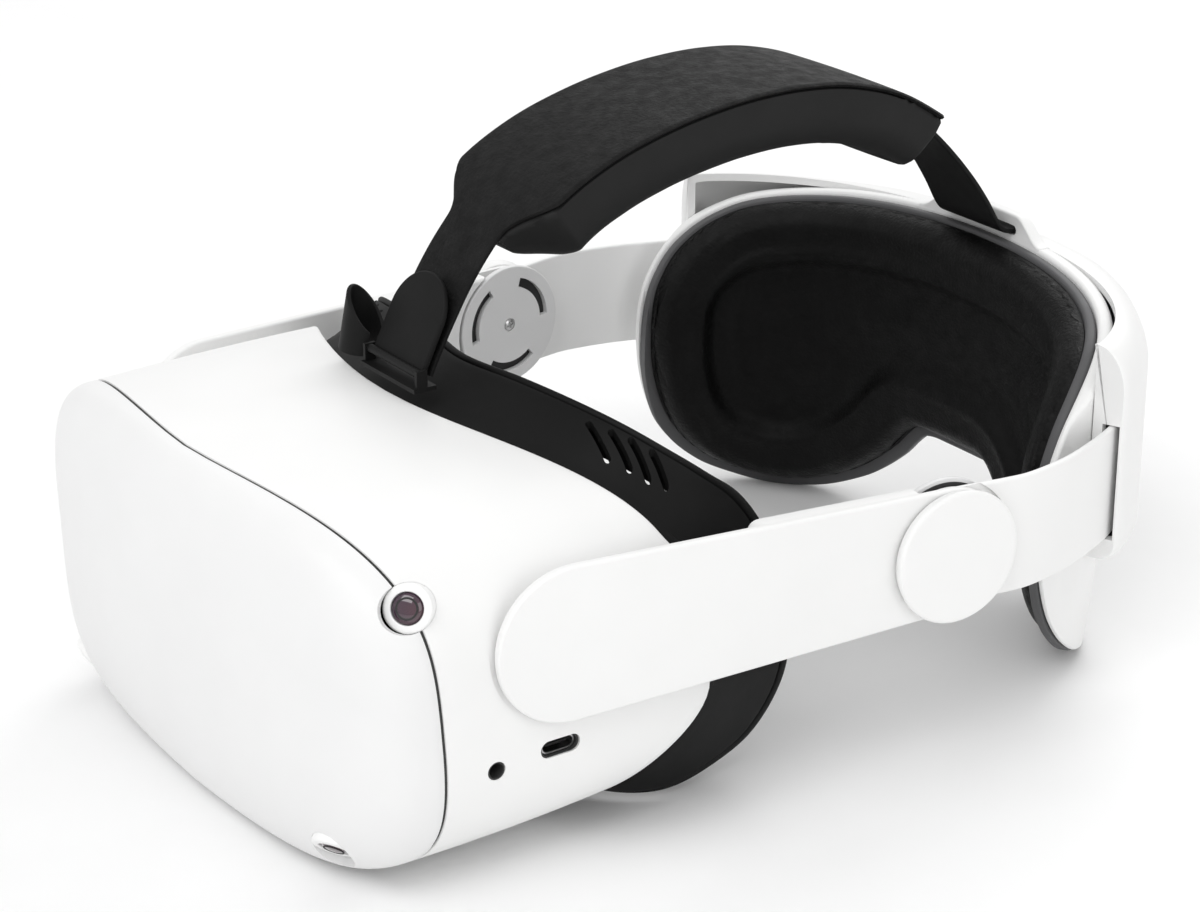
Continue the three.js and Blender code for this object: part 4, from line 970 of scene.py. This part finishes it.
def plate_section(inner, outer, foot=None, edge=0.8, levels=30):
    """Row of a plate between two offsets, its long edges rounded, its outer face drawn in to foot below."""
    def section(s, low, high):
        e = min(edge, (high - low) / 4)
        o = outer(s) if callable(outer) else outer
        f = o if foot is None else foot
        up = [(inner, low + e), (inner + e * 0.3, low + e * 0.3), (inner + e * 0.5, low), (f - e * 0.5, low),
              (f - e * 0.1, low + e * 0.3)]
        face = [(mix(f, o, sin(pi / 2 * clamp(k / levels / 0.45))), mix(low + e, high - e, k / levels))
                for k in range(levels + 1)]
        down = [(o - e * 0.3, high - e * 0.3), (o - e, high), (inner + e, high),
                (inner + e * 0.3, high - e * 0.3)]
        back = [(inner, mix(high - e, low + e, k / 6)) for k in range(6)]
        return [on_cradle(offset, s, z) for offset, z in up + face + down + back]
    return section


def pad_relief(distance):
    """Height of the pad's face at a distance in from its outline: a full border round a sunk panel."""
    edge = 8.6 * sqrt(clamp(1 - (1 - clamp(distance / 7)) ** 2))
    sink = 3.4 * smooth((distance - 15.5) / 6.5)
    ridge = 0.9 * exp(-((distance - 15.5) / 2.6) ** 2)
    crown = 1.3 * smooth((distance - 24) / 22)
    return edge - sink + ridge + crown


def make_pad():
    levels = 90
    half = pad_outline()
    full = np.array(half + [(-s, z) for s, z in half])

    def section(s, low, high):
        front, back = [], []
        for k in range(levels + 1):
            z = mix(low, high, (1 - cos(pi * k / levels)) / 2)
            distance = float(np.hypot(full[:, 0] - s, full[:, 1] - z).min())
            front.append(on_cradle(-0.4 - pad_relief(distance), s, z))
        for k in range(13):
            back.append(on_cradle(-0.2, s, mix(high - 0.2, low + 0.2, k / 12)))
        return front + back
    pad = build("head_pad", skin(cradle_rows(0, 0, section, 180)))
    count = levels + 14
    held = [i for i in range(len(pad.data.vertices)) if i % count > levels - 3 or i % count < 3]
    puff(pad, held, 0.0008)
    dress(pad, PAD_LEATHER, "cradle", ["cradle_pad"], 80)


def make_cradle_shells():
    rim = build("pad_rim", skin(cradle_rows(1.2, 3.7, plate_section(0.05, 3.2, edge=0.9))))
    # The rim's dark grey is painted shade on the shell's flange.
    dress(rim, RIM_PAINTED_SHADE, "cradle", ["cradle_rim"], 60)

    def outer(s):
        return mix(8, 5.6, smooth((abs(s) - HOUSING_END) / 9))
    shell = build("cradle_skin", skin(cradle_rows(2.3, 3.0, plate_section(3.55, outer, 5.2, 1.1))))
    ear = []
    for s in (-27 + 54 * k / 44 for k in range(45)):
        top = 54 + 7 * (1 - smooth((abs(s) - 15) / 11.5))
        section = fillet([(3.8, 46), (7.9, 46), (7.9, top), (3.8, top)], 0.9, 5)
        ear.append([on_cradle(offset, s, z) for offset, z in section])
    combine(shell, [tool(skin(ear))], "UNION")
    combine(shell, [tool(prism(stadium(31.6, 3.1, 10), 262, 290, 0.02), along_y(0, 0, 56.15))])
    dress(shell, WHITE, "cradle", ["cradle_shell"], 50)


def housing_rows(end, inner, inset, steps=96):
    """The housing's sections, drawn in by inset, with rounded long edges and ends."""
    bottom, top, foot = HOUSING.bottom + inset, HOUSING.top - inset, HOUSING.foot - inset
    across, down = SHOULDER.across, SHOULDER.down
    rows = []
    for i in range(steps + 1):
        t = sin(pi / 2 * (2 * i / steps - 1))
        near = clamp((abs(t) - 0.955) / 0.045)
        out = mix(HOUSING.outer, HOUSING.outer_end, smooth((abs(end * t) - 30) / 45)) - inset
        out -= 1.9 * (1 - sqrt(max(0.05, 1 - near ** 2 * 0.95)))
        quarter = [pi / 2 * k / 10 for k in range(11)]
        row = [(inner, bottom)] + [(out - foot * (1 - sin(a)), bottom + foot * (1 - cos(a))) for a in quarter]
        row += [(out, mix(bottom + foot, top - down, k / 10)) for k in range(1, 10)]
        row += [(out - across * (1 - cos(a)), top - down * (1 - sin(a))) for a in quarter] + [(inner, top)]
        rows.append([on_cradle(o, end * t, z) for o, z in row])
    return rows


def make_housing():
    body = build("cradle_housing", skin(housing_rows(HOUSING_END, HOUSING.inner, 0)))
    combine(body, [tool(skin(housing_rows(HOUSING_END - HOUSING.wall, HOUSING.inner - 3, HOUSING.wall, 40)))])
    for label, side in SIDES:
        mouth = [[on_cradle(o, s, z) for o, z in ((11.4, -5), (16.6, -5), (16.6, 29.8), (11.4, 29.8))]
                 for s in (HOUSING_END - 4, HOUSING_END + 5)]
        combine(body, [tool(skin(mouth), mirror(side))])
        # Painted shade: a thin dark sheet just inside each housing mouth darkens the hollow behind the
        # opening.
        dark = [[on_cradle(o, s, z) for o, z in ((8.6, -9), (16, -9), (16, 40), (8.6, 40))]
                for s in (HOUSING_END - 9, HOUSING_END - 8.6)]
        dress(build(f"mouth_shade_{label}", skin(dark), mirror(side)), SEAM_DARK_AND_SHADE, "cradle")
    boss = fillet([(0, BOSS.low), (BOSS.radius, BOSS.low), (BOSS.radius, BOSS.high), (0, BOSS.high)],
                  [0, 0, 0.8, 0], 5)
    turn = along_y(0, 0, DIAL_Z)
    combine(body, [tool(lathe(boss, 96), turn)], "UNION")
    combine(body, [tool(cylinder(3.2, 279, 320, 48), turn)])
    dress(body, WHITE, "cradle", ["cradle_cover"], 38)


def make_knob():
    """Disc with fine grips round its rim and a shallow dish in its face."""
    turns = [2 * pi * k / 288 for k in range(288)]
    rows = []
    for y, inset, depth in ((0, 0, 0.1), (0.6, 0, 0.25), (4.2, 0, 0.25), (5.2, 0.4, 0.25), (5.9, 1.2, 0.1),
                            (6.1, 2.2, 0.1), (6.1, 3.9, 0), (5.5, 4.9, 0), (5.3, 11.4, 0), (5.3, 18.9, 0)):
        rows.append([])
        for a in turns:
            r = KNOB.radius - inset + depth * cos(a * KNOB.grips)
            rows[-1].append(Vector((r * cos(a), KNOB.low + y, DIAL_Z + r * sin(a))))
    dress(build("fit_knob", skin(rows)), SOFT_BLACK, "dial", ["dial_knob"], 40, "black_plastic")


# ---- top strap
STRAP_PATH = [(69.3, 54.5), (72, 60), (77, 69), (82.5, 78), (89, 86.5), (97.5, 95.5), (108, 103),
              (122, 109.5), (137, 114), (152, 117), (168, 118.8), (186, 119), (204, 116.8), (222, 111.2),
              (238, 102), (248, 94)]
REAR_STRAP_PATH = [(232, 103.3), (240, 97.8), (248, 91), (255, 84), (262, 75.7), (267.7, 67.7), (271.8, 60.9),
                   (274.4, 57.7), (277.4, 56.6), (281, 56.4), (285, 56.4)]


def ride_line(path, count):
    """Places and upward directions along a strap's centre line."""
    line = resample(spline([Vector((0, y, z)) for y, z in path]), count)
    out = []
    for i, p in enumerate(line):
        run = (line[min(i + 1, count - 1)] - line[max(i - 1, 0)]).normalized()
        out.append((p, Vector((0, -run.z, run.y))))
    return out


def strap_half(y):
    return STRAP_NARROW + 12.4 * smooth((y - 91.5) / 13)


def make_top_strap():
    rows = []
    for p, up in ride_line(STRAP_PATH, 280):
        if p.y > STRAP_END_Y - 0.6:
            break
        w = strap_half(p.y) - 1.2 * (1 - sqrt(clamp((STRAP_END_Y - p.y) / 1.5)))
        section = fillet([(-w, -STRAP_WALL), (w, -STRAP_WALL), (w, 0), (-w, 0)], 0.6, 4)
        crown = [Vector((x, p.y, p.z)) + up * (h + 0.35 * (1 - (x / w) ** 2) * (h > -0.7))
                 for x, h in densify(section, 2.0)]
        rows.append([Vector(q) for q in resample([*crown, crown[0]], 97)[:-1]])
    dress(build("crown_strap", skin(rows)), GRAIN, "crown", ["top_strap"], 50)


def densify(points, pitch):
    """Points added along the long straight runs of a closed outline."""
    out = []
    for i, p in enumerate(points):
        after = points[(i + 1) % len(points)]
        parts = max(1, int((after - p).length / pitch))
        out += [p.lerp(after, k / parts) for k in range(parts)]
    return out


def make_crown_cushion():
    rows = []
    begin, stop = PAD_FRONT_Y - 1, STRAP_END_Y - 0.5
    for p, up in ride_line(STRAP_PATH, 340):
        if not begin <= p.y <= stop:
            continue
        from_end = clamp(min((p.y - begin + 0.2) / 11, (stop + 0.3 - p.y) / 4))
        round_end = sqrt(clamp(1 - (1 - from_end) ** 2))
        thick = PAD_THICKNESS * mix(0.25, 1, round_end)
        top = -STRAP_WALL - 0.05
        pocket = 3.1 * smooth((p.y - 222) / 8)
        w = min(PAD_HALF, strap_half(p.y + 1.5)) - 0.5 * (1 - round_end)
        r, low, cut = min(5.5, thick * 0.42), top - thick, min(15.4, w - 2)
        side, dip = low + r + 1.2, top - pocket
        section = [(-w, top), (-cut, top), (0.8 - cut, dip), (cut - 0.8, dip), (cut, top), (w, top),
                   (w + 0.2, side), (w - 1.5, low), (1.5 - w, low), (-w - 0.2, side)]
        edge = fillet([Vector(q) for q in section], [0.4, 0, 0, 0, 0, 0.4, 1.6, r, r, 1.6], 6)
        edge = resample([Vector((q.x, q.y, 0)) for q in [*edge, edge[0]]], 73)[:-1]
        rows.append([Vector((q.x, p.y, p.z)) + up * q.y for q in edge])
    cushion = build("crown_cushion", skin(rows))
    puff(cushion, [i for i in range(len(cushion.data.vertices)) if i % 72 < 30], 0.001)
    dress(cushion, STRAP_SIDE, "crown", ["top_strap_cushion"], 60)


def make_rear_strap():
    rows = []
    for p, up in ride_line(REAR_STRAP_PATH, 160):
        w = mix(STRAP_NARROW, 14.5, smooth((p.y - 250) / 25))
        section = fillet([(-w, -1.5), (w, -1.5), (w, 0), (-w, 0)], 0.6, 4)
        dense = resample([Vector((q.x, q.y, 0)) for q in [*densify(section, 2.0), section[0]]], 81)[:-1]
        rows.append([Vector((q.x, p.y, p.z)) + up * q.y for q in dense])
    strap = build("nape_strap", skin(rows))
    dress(strap, SOFT_BLACK, "back_strap", ["rear_strap"], 50)


def make_tab():
    w, tip = STRAP_NARROW, STRAP_NARROW + 0.04
    start = asin(1 / tip)
    shape = [Vector((-w, -2)), Vector((w, -2)), Vector((w, 14))]
    for k in range(33):
        a = mix(start, pi - start, k / 32)
        shape.append(Vector((tip * cos(a), 13 + tip * sin(a))))
    shape += [Vector((-w, 14))]
    place = Matrix.Translation((0, 66.9, 55.9)) @ Matrix.Rotation(-0.46, 4, "X") @ along_y()
    tab = build("strap_tab_skin", prism(shape, -0.2, 1.6, 0.7, 5), place)
    dress(tab, SOFT_BLACK, "crown", ["top_strap_tab"], 50)


def make_guide():
    """Leaning tube with a slit along it and a slanting mouth."""
    rows = []
    for i in range(73):
        a = radians(mix(10, 340, i / 72))
        height = GUIDE.height + GUIDE.slant * cos(a - radians(204))
        section = fillet([(GUIDE.radius, 0), (GUIDE.radius, height), (GUIDE.radius - GUIDE.wall, height),
                          (GUIDE.radius - GUIDE.wall, 0)], [0, 0.6, 0.6, 0], 5)
        rows.append([Vector((GUIDE.x + r * cos(a) + h * 0.1, GUIDE.y + r * 0.8 * sin(a) + h * 0.14,
                             GUIDE.z + h)) for r, h in section])
    dress(build("strap_guide_skin", skin(rows)), SOFT_BLACK, "visor", ["strap_guide"], 50)


# ---- camera, light and floor
VIEW_AZIMUTH, VIEW_ELEVATION = radians(54.856), radians(22.718)
VIEW_TARGET = Vector((14.92, 123.64, 18.93))
VIEW_DISTANCE = 868.95
LENS_MM, SENSOR_MM = 92.27, 36
FLOOR_DROP = 0.0002


def make_camera():
    back = Vector((sin(VIEW_AZIMUTH) * cos(VIEW_ELEVATION), -cos(VIEW_AZIMUTH) * cos(VIEW_ELEVATION),
                   sin(VIEW_ELEVATION)))
    right = Vector((0, 0, 1)).cross(back).normalized()
    up = back.cross(right)
    tilt = Matrix.Rotation(REST_TILT, 3, "X")
    turn = Matrix((tilt @ right, tilt @ up, tilt @ back)).transposed()
    data = bpy.data.cameras.new("view")
    data.lens, data.sensor_width = LENS_MM, SENSOR_MM
    data.clip_start, data.clip_end = 0.05, 20
    camera = place_data("view", data)
    camera.matrix_world = Matrix.Translation(TO_ROW @ (VIEW_TARGET + back * VIEW_DISTANCE)) @ turn.to_4x4()
    bpy.context.scene.camera = camera


def area_light(name, place, aim, size, watts):
    data = bpy.data.lights.new(name, "AREA")
    data.shape = "RECTANGLE"
    data.size, data.size_y = size
    data.energy = watts
    light = place_data(name, data)
    light.location = place
    light.rotation_euler = (Vector(aim) - Vector(place)).to_track_quat("-Z", "Y").to_euler()


def make_stage():
    world = bpy.data.worlds.new("studio")
    bpy.context.scene.world = world
    world.use_nodes = True
    background = world.node_tree.nodes["Background"]
    background.inputs["Color"].default_value = (1, 1, 1, 1)
    background.inputs["Strength"].default_value = 0.75
    floor_mat = plastic("floor_look", (0.9, 0.9, 0.9), (0.92, 0.92, 0.92), 0.7)
    mesh = bpy.data.meshes.new("floor")
    corners = [(x, y, -FLOOR_DROP) for x, y in ((-8, -8), (8, -8), (8, 8), (-8, 8))]
    mesh.from_pydata(corners, [], [(0, 1, 2, 3)])
    mesh.materials.append(floor_mat)
    place_data("floor", mesh)
    area_light("key", (0.5, -1.2, 1.7), (0, 0, 0.08), (1.6, 1.2), 16)
    area_light("fill", (1.9, 0.2, 0.8), (0, 0, 0.08), (1.2, 1.2), 5)
    area_light("back", (-0.9, 1.5, 1.4), (0, 0, 0.1), (1.4, 1.0), 12)
    bpy.context.scene.view_settings.view_transform = "Standard"


make_camera()
make_stage()
make_cover()
make_body()
make_gasket()
make_cameras()
make_ports()
make_buttons()
dress_works()
make_optics()
make_shroud()
make_face_frame()
make_face_cushion()
make_arms()
make_hubs()
make_bands()
make_pad()
make_cradle_shells()
make_housing()
make_knob()
make_top_strap()
make_crown_cushion()
make_rear_strap()
make_tab()
make_guide()

bpy.context.view_layer.update()
